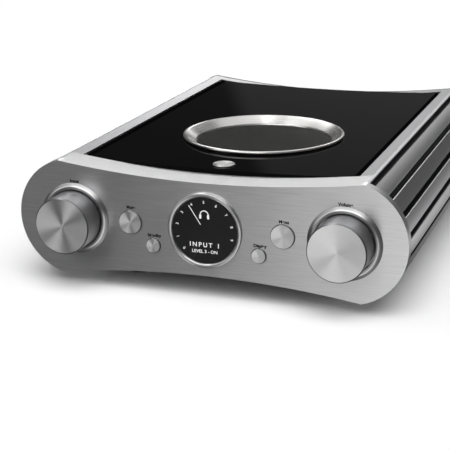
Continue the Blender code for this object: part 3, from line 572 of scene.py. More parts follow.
def make_case(band_lit_skin, rail_skin, slot_shade_skin):
    """The ribbed extrusion. Its front band is brushed across, in a lighter colour than the rest as
    painted light, and the rest along its length. The slots' walls and floors are black, as painted shade.
    """
    outline = at_panel(case_outline(slots=True))
    case = extruded("outer_case_metal", outline, CASE_LOW.y, CASE_HIGH.y, rail_skin)
    past, above, ledge = 0.01, 0.12, 0.013
    half = LID_HIGH.x + GAP
    inside, pocket, hatch, seat = [bmesh.new() for _ in range(4)]
    prism(inside, at_panel(case_outline(SIDE_WALL, WAIST_WALL)), CASE_LOW.y - past, CASE_HIGH.y + past)
    lid_room = lid_arc(-LID_THICK - GAP, half) + [(half, above), (-half, above)]
    prism(pocket, lid_room, LID_LOW.y - GAP, LID_HIGH.y + GAP)
    box(hatch, (ledge - half, LID_LOW.y + ledge, CENTRE_Z), (half - ledge, LID_HIGH.y - ledge, above))
    box(
        hatch,
        (BASE_LOW.x + ledge, BASE_LOW.y + ledge, 0.0),
        (BASE_HIGH.x - ledge, BASE_HIGH.y - ledge, CENTRE_Z - 0.01),
    )
    top = BASE_LOW.z + 0.0028
    box(seat, (BASE_LOW.x - GAP, BASE_LOW.y - GAP, 0.0), (BASE_HIGH.x + GAP, BASE_HIGH.y + GAP, top))
    for room in (inside, pocket, hatch, seat):
        cut(case, room)
    mesh = case.data
    mesh.materials.clear()
    for skin in (rail_skin, band_lit_skin, slot_shade_skin):
        mesh.materials.append(skin)
    bm = bmesh.new()
    bm.from_mesh(mesh)
    everything = bm.verts[:] + bm.edges[:] + bm.faces[:]
    band_end = LID_LOW.y - GAP
    bmesh.ops.bisect_plane(bm, geom=everything, plane_co=(0, band_end, 0), plane_no=(0, 1, 0))
    corner_x, stop = end_angle(END_RADIUS, WAIST_RADIUS, WAIST + WAIST_RADIUS)
    for face in bm.faces:
        face.material_index = 0
        if abs(face.normal.y) > 0.5:
            continue
        centre = face.calc_center_median()
        aside, rise = abs(centre.x) - END_X, abs(centre.z - CENTRE_Z)
        in_wall = END_RADIUS - SIDE_WALL + 0.0005 < math.hypot(aside, rise) < END_RADIUS - 0.0007
        # Faces in the slots' walls and floors take the black skin: painted shade in the slots.
        if in_wall and math.atan2(rise, aside) < stop - 0.05:
            face.material_index = 2
        # The front band takes the band's skin: brushed across, and lighter in colour than the rails as
        # painted light.
        elif centre.y < band_end and abs(centre.x) < corner_x:
            face.material_index = 1
    bm.to_mesh(mesh)
    bm.free()
    mesh.shade_smooth()
    mesh.set_sharp_from_angle(angle=math.radians(20))
    fit(case, "brushed_aluminium", "outer_case")


def make_lid(gloss, ring_skin, wire_skin, backing_skin, badge_skin):
    half = LID_HIGH.x
    outline = lid_arc(-LID_THICK, half) + lid_arc(0.0, half)[::-1]
    lid = extruded("lid_gloss_panel", outline, LID_LOW.y, LID_HIGH.y, gloss)
    ring_y = middle("lid_ring").y
    bore(lid, RING_HOLE, (0.0, ring_y), LID_LOW.z - PAST, LID_HIGH.z + PAST, "Z", 128)
    edged(lid, 0.0006, 3)
    fit(lid, "black_gloss", "lid_panel")

    at = (0.0, ring_y, CENTRE_Z)
    ring_radius = RING_HIGH.x
    top = RING_HIGH.z - CENTRE_Z
    mesh_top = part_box("lid_mesh")[1].z - CENTRE_Z
    bottom, seat, ledge = 0.0352, 0.0430, 0.0370
    profile = [
        (RING_HOLE - GAP, bottom),
        (RING_HOLE - GAP, seat),
        (ring_radius - 0.0006, seat),
        (ring_radius, seat + 0.0006),
        (ring_radius - 0.0002, top - 0.0005),
        (ring_radius - 0.0009, top),
        (ring_radius - 0.0026, top),
        (0.0602, mesh_top + 0.0008),
        (0.0598, mesh_top),
        (0.0598, ledge),
        (0.0570, ledge),
        (0.0570, bottom),
    ]
    radii = [0, 0, 0.0004, 0.0004, 0.0004, 0.0005, 0.0009, 0.0004, 0, 0, 0, 0]
    ring = turned("lid_ring_metal", profile, ring_skin, at, "Z", 160, radii, 60)
    fit(ring, "spun_aluminium", "lid_ring")
    make_woven_mesh(wire_skin, ring_y, mesh_top)

    floor = mesh_top - 0.0013
    disc = [(0.0, floor), (0.0592, floor), (0.0592, floor + 0.0002), (0.0, floor + 0.0002)]
    fit(turned("lid_mesh_backing", disc, backing_skin, at, "Z"), "black_anodised")

    low, high, centre = space("lid_badge")
    radius, height = high.x, high.z - low.z
    dish = [(0.0, height - 0.0002), (radius - 0.0012, height - 0.0002), (radius - 0.0009, height)]
    dish += [(radius - 0.0004, height), (radius, height - 0.0004), (radius, 0.0), (0.0, 0.0)]
    badge = turned("lid_badge_disc", dish, badge_skin, (centre.x, centre.y, low.z), "Z")
    fit(badge, "badge_metal", "lid_badge")


def make_woven_mesh(skin, centre_y, top):
    """Round wires in a plain weave, trimmed to a disc under the ring's lip."""
    radius, pitch, wire = 0.0594, 0.00135, 0.00017
    count = int(radius / pitch)
    middle_z = top - 0.0005
    half = wire * math.sqrt(0.5)
    corners = ((half, half), (-half, half), (-half, -half), (half, -half))
    bm = bmesh.new()
    for way, i in itertools.product((0, 1), range(-count, count + 1)):
        aside = i * pitch
        reach = int(math.sqrt(radius**2 - aside**2) / pitch * 2)
        if reach < 2:
            continue
        rings = []
        for k in range(-reach, reach + 1):
            wave = math.cos(math.pi * (k / 2 + i)) * (1 if way else -1)
            along, height = k * pitch / 2, middle_z + wire * 0.95 * wave
            spots = []
            for across, up in corners:
                x, y = (along, aside + across) if way == 0 else (aside + across, along)
                spots.append(bm.verts.new((x, y, height + up)))
            rings.append(spots)
        for first, second in zip(rings, rings[1:]):
            for a in range(4):
                b = (a + 1) % 4
                bm.faces.new((first[a], first[b], second[b], second[a]))
        bm.faces.new(rings[0])
        bm.faces.new(rings[-1])
    made = shaped("lid_mesh_wires", bm, skin, (0.0, centre_y, CENTRE_Z), sharp=80)
    fit(made, "vent_mesh", "lid_mesh")


# ---- front controls
def make_knob(name, face_skin, side_shade_skin, edge_skin, collar_shade_skin):
    """A solid turned knob with a slightly dished face, and the raised collar that it turns in."""
    low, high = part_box(f"{name}_knob")
    radius = (high.x - low.x) / 2
    face, back = low.y - FRONT_Y, high.y - FRONT_Y
    chamfer, shaft, bottom = 0.0009, 0.0033, face + 0.012
    rim = radius - chamfer
    at = (middle(f"{name}_knob").x, FRONT_Y, CENTRE_Z)
    profile = [
        (0.0, face + DISH * rim),
        (rim, face),
        (radius, face + chamfer),
        (radius, back - 0.0003),
        (radius - 0.0003, back),
        (shaft, back),
        (shaft, bottom),
        (0.0, bottom),
    ]
    # The body takes a much darker copy of the spun metal than the face: painted shade on its side and
    # chamfer.
    knob = turned(f"{name}_knob_metal", profile, side_shade_skin, at, steps=160, sharp=28)
    dress(knob, face_skin, lambda polygon: faces_front(polygon, face + 0.002), flat=True)
    fit(knob, "spun_aluminium", f"{name}_knob", body=f"{name}_knob")

    low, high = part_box(f"{name}_knob_collar")
    outer = (high.x - low.x) / 2
    rise = low.y - FRONT_Y
    crown_start, crown_end = 0.0266, 0.0272
    profile = [
        (POCKET_RADIUS, -GAP),
        (POCKET_RADIUS, rise + 0.0004),
        (POCKET_RADIUS + 0.0004, rise),
        (crown_start, rise),
        (crown_end, rise + 0.0003),
        (outer, -GAP - 0.0003),
        (outer, -GAP),
    ]
    radii = [0, 0.0003, 0.0003, 0.0003, 0.0003, 0.0002, 0]
    collar = turned(f"{name}_collar_metal", profile, edge_skin, at, steps=160, radii=radii, sharp=28)

    def off_the_crown(polygon):
        across = math.hypot(polygon.center.x, polygon.center.z)
        return not crown_start - 0.0004 < across < crown_end + 0.0002

    # The collar's slopes, off the crown, take a darker copy of the spun metal than the crown: painted
    # shade on the slopes.
    dress(collar, collar_shade_skin, off_the_crown)
    fit(collar, "spun_aluminium", f"{name}_knob_collar")


def make_button(name, face_skin, side_shade_skin):
    low, high, centre = space(name)
    radius = button_radius(name)
    proud, back = low.y - FRONT_Y, high.y - FRONT_Y
    flange, stem = back - 0.0028, 0.0022
    profile = [
        (0.0, proud + DISH * (radius - 0.0005)),
        (radius - 0.0005, proud),
        (radius, proud + 0.0005),
        (radius, flange),
        (radius + BUTTON_FLANGE, flange),
        (radius + BUTTON_FLANGE, flange + 0.001),
        (stem, flange + 0.001),
        (stem, back),
        (0.0, back),
    ]
    # The button's body takes the darker copy of the spun metal: painted shade on its side.
    button = turned(f"{name}_metal", profile, side_shade_skin, (centre.x, FRONT_Y, centre.z), sharp=28)
    dress(button, face_skin, lambda polygon: faces_front(polygon, 0.0), flat=True)
    fit(button, "spun_aluminium", name, body=name)


def make_display(bezel_skin, window_skin):
    low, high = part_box("display_bezel")
    window_low, window_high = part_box("display_window")
    at = (0.0, FRONT_Y, CENTRE_Z)
    outer, rise = high.x, low.y - FRONT_Y
    radius, face = window_high.x, window_low.y - FRONT_Y
    bore_radius, floor, neck = radius + GAP, 0.0070, 0.0287
    profile = [
        (outer, -GAP),
        (outer, rise + 0.0010),
        (outer - 0.0009, rise),
        (bore_radius + 0.0010, rise),
        (bore_radius, rise + 0.0008),
        (bore_radius, GAP),
        (bore_radius - 0.0016, GAP),
        (bore_radius - 0.0016, floor),
        (neck, floor),
        (neck, -GAP),
    ]
    radii = [0.0001, 0.0004, 0.0004, 0.0004, 0.0003, 0, 0, 0, 0, 0]
    bezel = turned("display_bezel_metal", profile, bezel_skin, at, steps=160, radii=radii, sharp=28)
    fit(bezel, "brushed_aluminium", "display_bezel")
    profile = [(0.0, face), (radius - 0.0002, face), (radius, face + 0.0002), (radius, 0.0), (0.0, 0.0)]
    window = turned("display_window_glass", profile, window_skin, at, steps=128)
    fit(window, "display_glass", "display_window")


# ---- lettering
def lettering(name, words, size, at, skin, slot, turn=0.0, spacing=1.0, bold=0.012, facing=0.0):
    """Plain words or figures as a thin raised shape on the front or the back, centred on a point."""
    curve = bpy.data.curves.new(name, "FONT")
    curve.body = words
    curve.size = size
    curve.align_x = "CENTER"
    curve.align_y = "CENTER"
    curve.extrude = INK_DEPTH
    curve.offset = size * bold
    curve.space_character = spacing
    text = placed(name, curve)
    upright = Matrix.Rotation(facing, 4, "Z") @ Matrix.Rotation(math.pi / 2, 4, "X")
    text.matrix_world = Matrix.Translation(at) @ upright @ Matrix.Rotation(turn, 4, "Z")
    bpy.context.view_layer.update()
    mesh = bpy.data.meshes.new_from_object(text.evaluated_get(bpy.context.evaluated_depsgraph_get()))
    mesh.name = name
    mesh.materials.clear()
    mesh.materials.append(skin)
    made = placed(name, mesh)
    made.matrix_world = text.matrix_world.copy()
    bpy.data.objects.remove(text, do_unlink=True)
    return fit(made, slot)


def make_labels(skin):
    places = (
        ("input", -0.1122, 0.0310, 0.0036),
        ("volume", 0.1134, 0.0308, 0.0036),
        ("mute", -0.0632, 0.0132, 0.0035),
        ("menu", 0.0648, 0.0127, 0.0035),
        ("standby", -0.0435, -0.0084, 0.0035),
        ("display", 0.0453, -0.0086, 0.0035),
    )
    for word, x, z, size in places:
        at = (x, FRONT_Y - INK, CENTRE_Z + z)
        lettering(f"label_{word}", word.title(), size, at, skin, "black_plastic", spacing=1.04, bold=0.05)


def make_dial(skin):
    """What the screen shows: ten small figures round the rim, a pointer and two lines of words."""
    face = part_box("display_window")[0].y - INK
    rim, first, step = 0.0232, 222, 26.2
    for i in range(10):
        angle = math.radians(first - step * i)
        x, z = polar(rim, angle, (0.0, CENTRE_Z))
        turn = angle - math.pi / 2
        lettering(f"dial_figure_{i}", str(i), 0.0031, (x, face, z), skin, "display_glass", turn)
    out = Vector(polar(1.0, math.radians(123)))
    across = Vector((-out.y, out.x)) * 0.00028
    near, far = out * 0.0058, out * 0.0238
    corners = [near - across, far - across, far + across, near + across]
    outline = at_panel([(corner.x, corner.y) for corner in corners])
    pointer = extruded("dial_pointer", outline, face - INK_DEPTH, face + INK_DEPTH, skin)
    fit(pointer, "display_glass")
    at = (0.0, face, CENTRE_Z - 0.0118)
    lettering("dial_words", "INPUT 1", 0.0053, at, skin, "display_glass", spacing=1.4)
    at = (0.0, face, CENTRE_Z - 0.0172)
    lettering("dial_small_words", "LEVEL 3 - ON", 0.0037, at, skin, "display_glass")
    make_headphone_sign(skin, face)


def make_headphone_sign(skin, face):
    """A generic headphone sign: a band over the top and an ear pad at each end."""
    outer, inner, steps = 0.0038, 0.0030, 20
    lift = CENTRE_Z + 0.0130
    arc = [math.pi * i / steps for i in range(steps + 1)]
    outline = [polar(outer, turn, (0.0, lift)) for turn in arc]
    outline += [polar(inner, turn, (0.0, lift)) for turn in reversed(arc)]
    bm = bmesh.new()
    prism(bm, outline, face - INK_DEPTH, face + INK_DEPTH)
    for side in (-1, 1):
        pad = rounded_box(0.0009, 0.0018, 0.0006, 4, (side * 0.0033, lift - 0.0014))
        prism(bm, pad, face - INK_DEPTH, face + INK_DEPTH)
    fit(shaped("dial_headphone_sign", bm, skin), "display_glass")


# ---- feet, base and rear panel
def make_feet(skin):
    bolt_room, screw_hole, recess = 0.0052, 0.0024, 0.008
    radii = [0.0005, 0.001, 0.001, 0.001, 0.0008, 0.0005, 0, 0, 0]
    for end, side in itertools.product(("front", "rear"), ("left", "right")):
        node = f"foot_{end}_{side}"
        low, high, centre = space(node)
        radius, top = (high.x - low.x) / 2, high.z
        profile = [
            (bolt_room, 0.0),
            (radius - 0.0025, 0.0),
            (radius - 0.0015, 0.0015),
            (radius, 0.004),
            (radius, top - 0.001),
            (radius - 0.001, top),
            (screw_hole, top),
            (screw_hole, recess),
            (bolt_room, recess),
        ]
        pad = turned(f"{node}_pad", profile, skin, (centre.x, centre.y, 0.0), "Z", radii=radii)
        fit(pad, "foot_rubber", node)


def make_rear_panel(skin):
    outline = at_panel(case_outline())
    panel = extruded("rear_panel_metal", outline, CASE_HIGH.y + HAIRLINE, REAR_HIGH.y, skin)
    start, end = REAR_LOW.y - PAST, REAR_HIGH.y + PAST
    under_flange = GAP - 0.002
    windows = (
        ("power_inlet", under_flange),
        ("line_output_sockets", under_flange),
        ("line_input_sockets", under_flange),
        ("optical_socket", GAP),
        ("usb_socket", GAP),
    )
    round_holes = (
        ("balanced_output_left", 0.0118),
        ("balanced_output_right", 0.0118),
        ("coax_socket", 0.0053),
        ("headphone_socket", 0.0063),
    )
    holes = bmesh.new()
    for node, room in windows:
        low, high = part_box(node)
        box(holes, (low.x - room, start, low.z - room), (high.x + room, end, high.z + room))
    for node, radius in round_holes:
        centre = middle(node)
        rod(holes, radius, (centre.x, centre.z), start, end)
    cut(panel, holes)
    edged(panel, 0.0003)
    fit(panel, "black_anodised", "rear_panel")


def make_screw(name, at, facing, radius, skin):
    """A round-headed screw with a hexagon recess, standing out along its facing direction."""
    height = radius * 0.55
    head = [(0.0, height), (radius * 0.6, height), (radius * 0.9, height * 0.7), (radius, height * 0.25)]
    head += [(radius, 0.0), (0.0, 0.0)]
    made = turned(name, head, skin, axis="Z", steps=32, radii=[0, 0.0003, 0.0003, 0.0002, 0, 0])
    bore(made, radius * 0.45, (0.0, 0.0), height * 0.3, height * 2, "Z", 6)
    turn = Vector((0, 0, 1)).rotation_difference(Vector(facing)).to_matrix().to_4x4()
    made.matrix_world = Matrix.Translation(at) @ turn
    return fit(made, "zinc_steel")


def make_screws(skin):
    """The small screws that hold the rear panel and the base plate."""
    back, spread = REAR_HIGH.y, END_RADIUS - 0.0055
    out, down, inset = (0, 1, 0), (0, 0, -1), 0.006
    base_rows = (BASE_LOW.y + inset, middle("base_plate").y, BASE_HIGH.y - inset)
    for side, hand, level in ((-1, "left", "low"), (1, "right", "high")):
        for i, degrees in enumerate((-58, 0, 58)):
            x, z = polar(spread, math.radians(degrees), (END_X, CENTRE_Z))
            make_screw(f"rear_screw_{hand}_{i + 1}", (side * x, back, z), out, 0.0028, skin)
        at = (0.0, back, CENTRE_Z + side * (WAIST - 0.0042))
        make_screw(f"rear_screw_middle_{level}", at, out, 0.0028, skin)
        for i, y in enumerate(base_rows):
            at = (side * (BASE_HIGH.x - inset), y, BASE_LOW.z)
            make_screw(f"base_screw_{hand}_{i + 1}", at, down, 0.003, skin)


def make_balanced_output(node, metal_skin, black_skin, gilt_skin, screw_skin):
    """A flanged metal shell with three gilt pins that stand in its black hollow."""
    low, high, centre = space(node)
    face = high.y
    at = (centre.x, centre.z)
    outline = rounded_box(high.x - centre.x, high.z - centre.z, 0.003, 8, at)
    shell = extruded(f"{node}_shell", outline, REAR_HIGH.y + GAP, face, metal_skin)
    bore(shell, 0.0115, at, low.y, face - 0.001, operation="UNION")
    bore(shell, 0.0094, at, face - 0.015, face + 0.001, steps=96)
    edged(shell, 0.0004, 3)
    fit(shell, "socket_steel", node)

    on_face = (centre.x, face, centre.z)
    lining = [(0.0, -0.0148), (0.0093, -0.0148), (0.0093, -0.0008), (0.0090, -0.0004)]
    lining += [(0.0086, -0.0008), (0.0086, -0.0135), (0.0, -0.0135)]
    fit(turned(f"{node}_lining", lining, black_skin, on_face, steps=64), "black_plastic")
    pin = [(0.0, -0.0020), (0.0006, -0.0021), (0.0011, -0.0028), (0.0012, -0.0036)]
    pin += [(0.0012, -0.0138), (0.0, -0.0138)]
    bm = bmesh.new()
    for degrees in (35, 145, 270):
        lathe(bm, pin, steps=20, centre=polar(0.0057, math.radians(degrees)))
    fit(shaped(f"{node}_pins", bm, gilt_skin, on_face), "gilt_brass")
    for i, side in enumerate((-1, 1)):
        spot = (centre.x + side * 0.0098, face, centre.z - side * 0.0123)
        make_screw(f"{node}_screw_{i + 1}", spot, (0, 1, 0), 0.0019, screw_skin)


def make_phono_shell(name, x, z, face, end, gilt_skin, ring_skin, black_skin):
    """One phono socket: a gilt shell round a coloured insulator with a dark contact hole."""
    reach = end - face
    at = (x, face, z)
    shell = [(0.0030, 0.0), (0.0048, 0.0), (0.0048, 0.0008), (0.0041, 0.0012), (0.0041, reach - 0.0006)]
    shell += [(0.0037, reach), (0.0032, reach), (0.0030, reach - 0.0002)]
    fit(turned(f"{name}_shell", shell, gilt_skin, at, steps=48), "gilt_brass")
    ring = [(0.0016, 0.0), (0.0031, 0.0), (0.0031, reach - 0.0009), (0.0027, reach - 0.0005)]
    ring += [(0.0018, reach - 0.0005), (0.0016, reach - 0.0008)]
    fit(turned(f"{name}_insulator", ring, ring_skin, at, steps=48), "black_plastic")
    contact = [(0.0, 0.0004), (0.0017, 0.0004), (0.0017, 0.0012), (0.0, 0.0016)]
    fit(turned(f"{name}_contact", contact, black_skin, at, steps=24), "gilt_brass")


def make_phono_block(node, black_skin, gilt_skin, ring_skins, screw_skin):
    """Four phono sockets on one plate, in two columns with an insulator colour each."""
    low, high, centre = space(node)
    start, pitch, half_body = REAR_HIGH.y + GAP, 0.014, 0.013
    face = start + 0.0025
    outline = rounded_box(high.x - centre.x, high.z - centre.z, 0.002, 6, (centre.x, centre.z))
    plate = extruded(f"{node}_plate", outline, start, face, black_skin)
    body = bmesh.new()
    box(
        body,
        (centre.x - half_body, low.y, centre.z - half_body),
        (centre.x + half_body, face - 0.001, centre.z + half_body),
    )
    cut(plate, body, "UNION")
    edged(plate, 0.0004, 3)
    fit(plate, "black_plastic", node)
    for i, k in itertools.product((0, 1), (0, 1)):
        x, z = centre.x + (i - 0.5) * pitch, centre.z + (k - 0.5) * pitch
        name = f"{node}_{2 * i + k + 1}"
        make_phono_shell(name, x, z, face, high.y, gilt_skin, ring_skins[i], black_skin)
    make_screw(f"{node}_screw", (centre.x, face, centre.z), (0, 1, 0), 0.0016, screw_skin)


def make_round_sockets(metal_skin, black_skin, gilt_skin, ring_skin):
    """The coaxial socket, and the 6.35 mm headphone socket with its fluted nut."""
    low, high, centre = space("coax_socket")
    start = REAR_HIGH.y + GAP
    face = start + 0.002
    flange = [(0.0, low.y), (0.0050, low.y), (0.0050, start), (0.0068, start)]
    flange += [(0.0068, face - 0.0004), (0.0064, face), (0.0, face)]
    base = turned("coax_socket_flange", flange, gilt_skin, (centre.x, 0.0, centre.z), steps=64)
    fit(base, "gilt_brass", "coax_socket")
    make_phono_shell("coax_socket", centre.x, centre.z, face, high.y, gilt_skin, ring_skin, black_skin)

    low, high, centre = space("headphone_socket")
    at = (centre.x, centre.z)
    nose, body_end, inset = high.y, REAR_LOW.y - GAP, 0.0005
    bm = bmesh.new()
    box(bm, (low.x + inset, low.y, low.z + inset), (high.x - inset, body_end, high.z - inset))
    body = shaped("headphone_socket_body", bm, black_skin)
    bore(body, JACK_RADIUS, at, low.y + 0.002, body_end + 0.001)
    edged(body, 0.0004)
    fit(body, "black_plastic", "headphone_socket")
    flutes, steps = [], 144
    for i in range(steps):
        turn = math.tau * i / steps
        flutes.append(polar(0.0093 + 0.0002 * math.cos(24 * turn), turn, at))
    nut = extruded("headphone_socket_nut", flutes, start, nose - 0.0012, metal_skin)
    bore(nut, 0.0085, at, start + 0.0005, nose - 0.0004, steps=96, operation="UNION")
    bore(nut, 0.0048, at, start - 0.001, nose + 0.001)
    edged(nut, 0.0003)
    fit(nut, "socket_steel")
    sleeve = [(JACK_RADIUS, -0.0085), (0.0046, -0.0085), (0.0046, 0.0), (0.0043, 0.0003)]
    sleeve += [(0.0037, 0.0003), (JACK_RADIUS, 0.0)]
    at = (centre.x, nose - 0.0004, centre.z)
    liner = turned("headphone_socket_sleeve", sleeve, black_skin, at, steps=48)
    fit(liner, "black_plastic")


def make_rear_labels(skin):
    words = (
        ("balanced_output_left", "Balanced L", 0.0205),
        ("balanced_output_right", "Balanced R", 0.0205),
        ("line_output_sockets", "Line Out", 0.0200),
        ("line_input_sockets", "Line In", 0.0200),
        ("coax_socket", "Coaxial", 0.0105),
        ("optical_socket", "Optical", -0.0100),
        ("usb_socket", "USB", 0.0100),
        ("headphone_socket", "Headphones", 0.0150),
    )
    face = REAR_HIGH.y + INK
    for node, word, lift in words:
        name, centre = f"rear_label_{node}", middle(node)
        at = (centre.x, face, centre.z + lift)
        lettering(name, word, 0.0036, at, skin, "black_plastic", bold=0.02, facing=math.pi)
    centre = middle("power_inlet")
    at = (centre.x, face, centre.z - 0.0335)
    lettering("rear_label_mains", "230 V ~ 50 Hz", 0.0032, at, skin, "black_plastic", facing=math.pi)


def make_rear_sockets(skins, marking_skin, ring_skins):
    plastic, steel, gilt = skins["black_plastic"], skins["zinc_steel"], skins["gilt_brass"]
    nickel = skins["socket_steel"]
    for side in ("left", "right"):
        make_balanced_output(f"balanced_output_{side}", nickel, plastic, gilt, steel)
    for node in ("line_output_sockets", "line_input_sockets"):
        make_phono_block(node, plastic, gilt, ring_skins, steel)
    make_round_sockets(nickel, plastic, gilt, ring_skins[0])
    refined("power_inlet", "black_plastic", plastic, 0.0004)
    refined("power_rocker", "black_plastic", plastic, 0.0004, body="power_rocker")
    refined("fuse_drawer", "black_plastic", plastic, 0.0004, body="fuse_drawer")
    refined("optical_socket", "black_plastic", plastic)
    refined("usb_socket", "socket_steel", nickel)
    make_rear_labels(marking_skin)


def dress_cad(skins):
    """Gives every CAD solid its finished material, by the slot that it was packed with."""
    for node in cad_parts.values():
        for slot in node.material_slots:
            slot.material = skins[slot.material.name.split(".")[0]]


# ---- light, floor and camera
def make_floor():
    bm = bmesh.new()
    bmesh.ops.create_grid(bm, x_segments=1, y_segments=1, size=12.0)
    skin = moulded("floor_white", grey(0.93), 0.9, grain=40.0, depth=0.0, spread=0.0)
    floor = shaped("floor", bm, skin)
    floor.visible_glossy = False


def pointing(azimuth, elevation):
    """The way to a place in the studio, from its azimuth (from +Y towards +X) and elevation."""
    around, above = math.radians(azimuth), math.radians(elevation)
    level = math.cos(above)
    return (math.sin(around) * level, math.cos(around) * level, math.sin(above))


def softbox_glow(graph, azimuth, elevation, softbox):
    """One soft-edged box of light on the studio's dome, as a node that gives its brightness."""
    across, up, half_across, half_up, strength, soft = softbox

    def edge(distance, half):
        far = graph.maths("ABSOLUTE", distance)
        return graph.between(far, 0.0, 1.0, half + soft / 2, half - soft / 2, "SMOOTHSTEP")

    turn = graph.maths("WRAP", graph.maths("SUBTRACT", azimuth, across), 180.0, -180.0)
    rise = graph.maths("SUBTRACT", elevation, up)
    glow = graph.maths("MULTIPLY", edge(turn, half_across), edge(rise, half_up))
    return graph.maths("MULTIPLY", glow, strength)


def make_world():
    """White for the backdrop, an overhead lamp for plain light, and the studio for mirrored light."""
    world = bpy.data.worlds.new("studio")
    bpy.context.scene.world = world
    world.use_nodes = True
    graph = Graph(world.node_tree)
    graph.tree.nodes.clear()
    path = graph.node("ShaderNodeLightPath")
    white, overhead, studio = [graph.node("ShaderNodeBackground") for _ in range(3)]
    white.inputs["Color"].default_value = (1.0, 1.0, 1.0, 1.0)
    light = overhead.outputs[0]
    for ray, background in (("Is Camera Ray", white), ("Is Glossy Ray", studio)):
        mix = graph.node("ShaderNodeMixShader")
        graph.link(path.outputs[ray], mix.inputs[0])
        graph.link(light, mix.inputs[1])
        graph.link(background.outputs[0], mix.inputs[2])
        light = mix.outputs[0]
    graph.link(light, graph.node("ShaderNodeOutputWorld").inputs["Surface"])

    way = graph.node("ShaderNodeTexCoord").outputs["Generated"]
    x, y, z = graph.apart(way)
    azimuth = graph.maths("DEGREES", graph.maths("ARCTAN2", x, y))
    elevation = graph.maths("DEGREES", graph.maths("ARCSINE", z))
    lamp = graph.node("ShaderNodeVectorMath", operation="DOT_PRODUCT")
    lamp.inputs[1].default_value = pointing(KEY_AZIMUTH, KEY_ELEVATION)
    graph.link(way, lamp.inputs[0])
    key = (KEY_SURROUND, KEY_STRENGTH, KEY_EDGE, KEY_CORE)
    glow = graph.between(lamp.outputs["Value"], *key, "SMOOTHSTEP")
    graph.link(glow, overhead.inputs["Color"])
    total = STUDIO_DARK
    for softbox in SOFTBOXES:
        total = graph.maths("ADD", softbox_glow(graph, azimuth, elevation, softbox), total)
    graph.link(total, studio.inputs["Color"])


# the overhead lamp: its place in degrees, the brightness round it and in it, and the cosines
# of the angles from its middle where its edge starts and where it is full
KEY_AZIMUTH, KEY_ELEVATION = 160.0, 60.0
KEY_SURROUND, KEY_STRENGTH = 0.36, 4.4
KEY_EDGE, KEY_CORE = 0.80, 0.97
STUDIO_DARK = 0.056
# each softbox: azimuth from +Y towards +X, elevation, their half widths, brightness, soft edge
SOFTBOXES = (
    # in front: a long bank above the lens, a tall strip and a low lamp to the right, and the table
    (188, 30, 26, 8.5, 3.6, 10),
    (229, 20, 11, 21, 1.2, 10),
    (234, -43, 4.6, 9, 5.3, 10),
    (172, -34, 25, 26, 1.0, 10),
    (160, -82, 56, 2.5, 0.25, 10),
    # behind, high: the two lamps that the ring and the knob rims mirror, and the ceiling
    (-35, 41, 9, 9, 6.4, 10),
    (-10, 25, 5, 5, 5.2, 10),
    (-120, 60, 15, 10, 3.0, 10),
    (-30, 80, 15, 10, 2.3, 10),
    (0, 70, 90, 20, 0.7, 10),
    (15, 40, 45, 10, 0.2, 10),
    # behind, low: what the lid, the rails and the band mirror
    (-10, 15, 8.5, 8, 0.13, 1),
    (0, 15, 5, 5, 1.0, 10),
    (20, -15, 5, 5, 1.1, 10),
    (-30, 5, 5, 5, 0.1, 10),
    (-50, 25, 20, 10, 0.1, 10),
    (5, -10, 15, 10, 0.2, 10),
)


def make_camera():
    camera = placed("camera", bpy.data.cameras.new("camera"))
    camera.data.sensor_width = 36.0
    camera.data.lens = 102.98
    camera.data.clip_start = 0.01
    camera.data.clip_end = 100.0
    azimuth, elevation, roll, distance = 160.16, 17.41, math.radians(0.725), 1.0059
    back = Vector(pointing(azimuth, elevation))
    camera.location = Vector((0.0167, FRONT_Y, CENTRE_Z + 0.006)) + back * distance
    camera.rotation_mode = "QUATERNION"
    level = (-back).to_track_quat("-Z", "Y")
    camera.rotation_quaternion = level @ Matrix.Rotation(-roll, 3, "Z").to_quaternion()
    bpy.context.scene.camera = camera


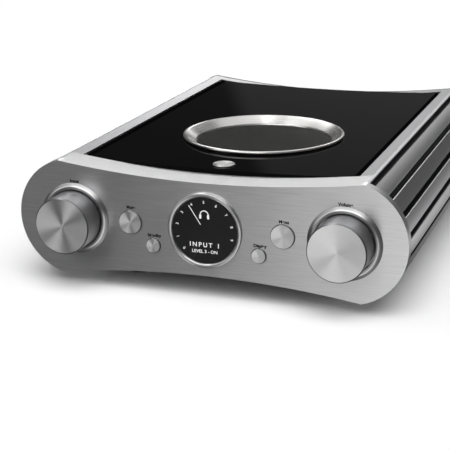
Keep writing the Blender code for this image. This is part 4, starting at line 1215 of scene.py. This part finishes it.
# ---- the whole scene
def main():
    bpy.context.scene.view_settings.view_transform = "Standard"
    front = brushed("metal_front", grey(0.75), 0.30, "X", (0, 0, 1), spread=0.07)
    # The front band: brushed across, in a lighter copy of the metal's colour than the rails, as painted
    # light.
    band = brushed("metal_band", grey(0.90), 0.30, "X", (0, 1, 0))
    rail = brushed("metal_rail", (0.78, 0.78, 0.79), 0.32, "Y", (1, 0, 0.001), 0.6, 0.03)
    face = spun("metal_spun_face", grey(0.86), 0.30, anisotropy=0.9)
    # A much darker copy of the spun metal for the knob and button bodies, as painted shade on their
    # sides.
    side = spun("metal_spun_side", (0.34, 0.34, 0.35), 0.34, anisotropy=0.6)
    rim = spun("metal_spun_rim", grey(0.72), 0.28)
    # A darker copy of the spun metal for the collars' slopes, as painted shade.
    flat = spun("metal_spun_flat", grey(0.42), 0.32, anisotropy=0.6)
    ring = spun("metal_ring", (0.85, 0.84, 0.82), 0.28, "Z")
    badge = spun("badge_satin", (0.85, 0.85, 0.84), 0.3, "Z")
    gloss = glossed("lid_black_gloss", LID_HIGH.x - 0.0055)
    wires = moulded("mesh_wire", (0.02, 0.02, 0.018), 0.45, metallic=0.3)
    dark = moulded("anodised_black", (0.014, 0.014, 0.015), 0.42, metallic=0.3)
    smoked = (0.009, 0.009, 0.0092)
    glass = moulded("display_dark", smoked, 0.25, grain=600.0, depth=0.0, Specular_IOR_Level=0.25)
    white = moulded("display_white", grey(0.85), 0.5, spread=0.03)
    ink = moulded("label_ink", grey(0.004), 0.7, spread=0.1, Specular_IOR_Level=0.1)
    rubber = moulded("rubber_black", grey(0.015), 0.75)
    steel = moulded("steel_zinc", grey(0.5), 0.35, metallic=1.0, spread=0.08)
    skins = {
        "brushed_aluminium": rail,
        "spun_aluminium": side,
        "black_gloss": gloss,
        "display_glass": glass,
        "vent_mesh": wires,
        "badge_metal": badge,
        "black_anodised": dark,
        "foot_rubber": rubber,
        "zinc_steel": steel,
        "black_plastic": moulded("plastic_black", (0.012, 0.012, 0.013), 0.5, spread=0.1),
        "socket_steel": moulded("nickel_satin", (0.55, 0.54, 0.52), 0.3, metallic=1.0, spread=0.06),
        "gilt_brass": moulded("gilt", (0.85, 0.60, 0.22), 0.22, metallic=1.0, spread=0.05),
        "circuit_board": boarded("board_green"),
        "transformer_tape": wrapped("transformer_wrap", (0.30, 0.045, 0.02), 0.45, 0.006, "Z"),
        "capacitor_sleeve": moulded("capacitor_film", (0.012, 0.028, 0.085), 0.3, spread=0.08),
        "ribbon_grey": wrapped("ribbon_cores", (0.35, 0.35, 0.36), 0.5, 0.00127, "X"),
        "fuse_glass": moulded("fuse_ceramic", (0.6, 0.62, 0.6), 0.15, spread=0.05),
    }
    marking = moulded("rear_marking", grey(0.7), 0.55, spread=0.03)
    insulators = (
        moulded("insulator_red", (0.5, 0.02, 0.015), 0.4, spread=0.06),
        moulded("insulator_white", (0.75, 0.75, 0.73), 0.4, spread=0.04),
    )
    dress_cad(skins)

    make_front_panel(front, band)
    # The case's slots take the black anodised skin as painted shade.
    make_case(band, rail, dark)
    make_lid(gloss, ring, wires, dark, badge)
    make_knob("input", face, side, rim, flat)
    make_knob("volume", face, side, rim, flat)
    for button in BUTTONS:
        make_button(button, face, side)
    make_display(rim, glass)
    make_labels(ink)
    make_dial(white)
    make_feet(rubber)
    make_rear_panel(dark)
    make_rear_sockets(skins, marking, insulators)
    make_screws(steel)
    make_floor()
    make_world()
    make_camera()


main()
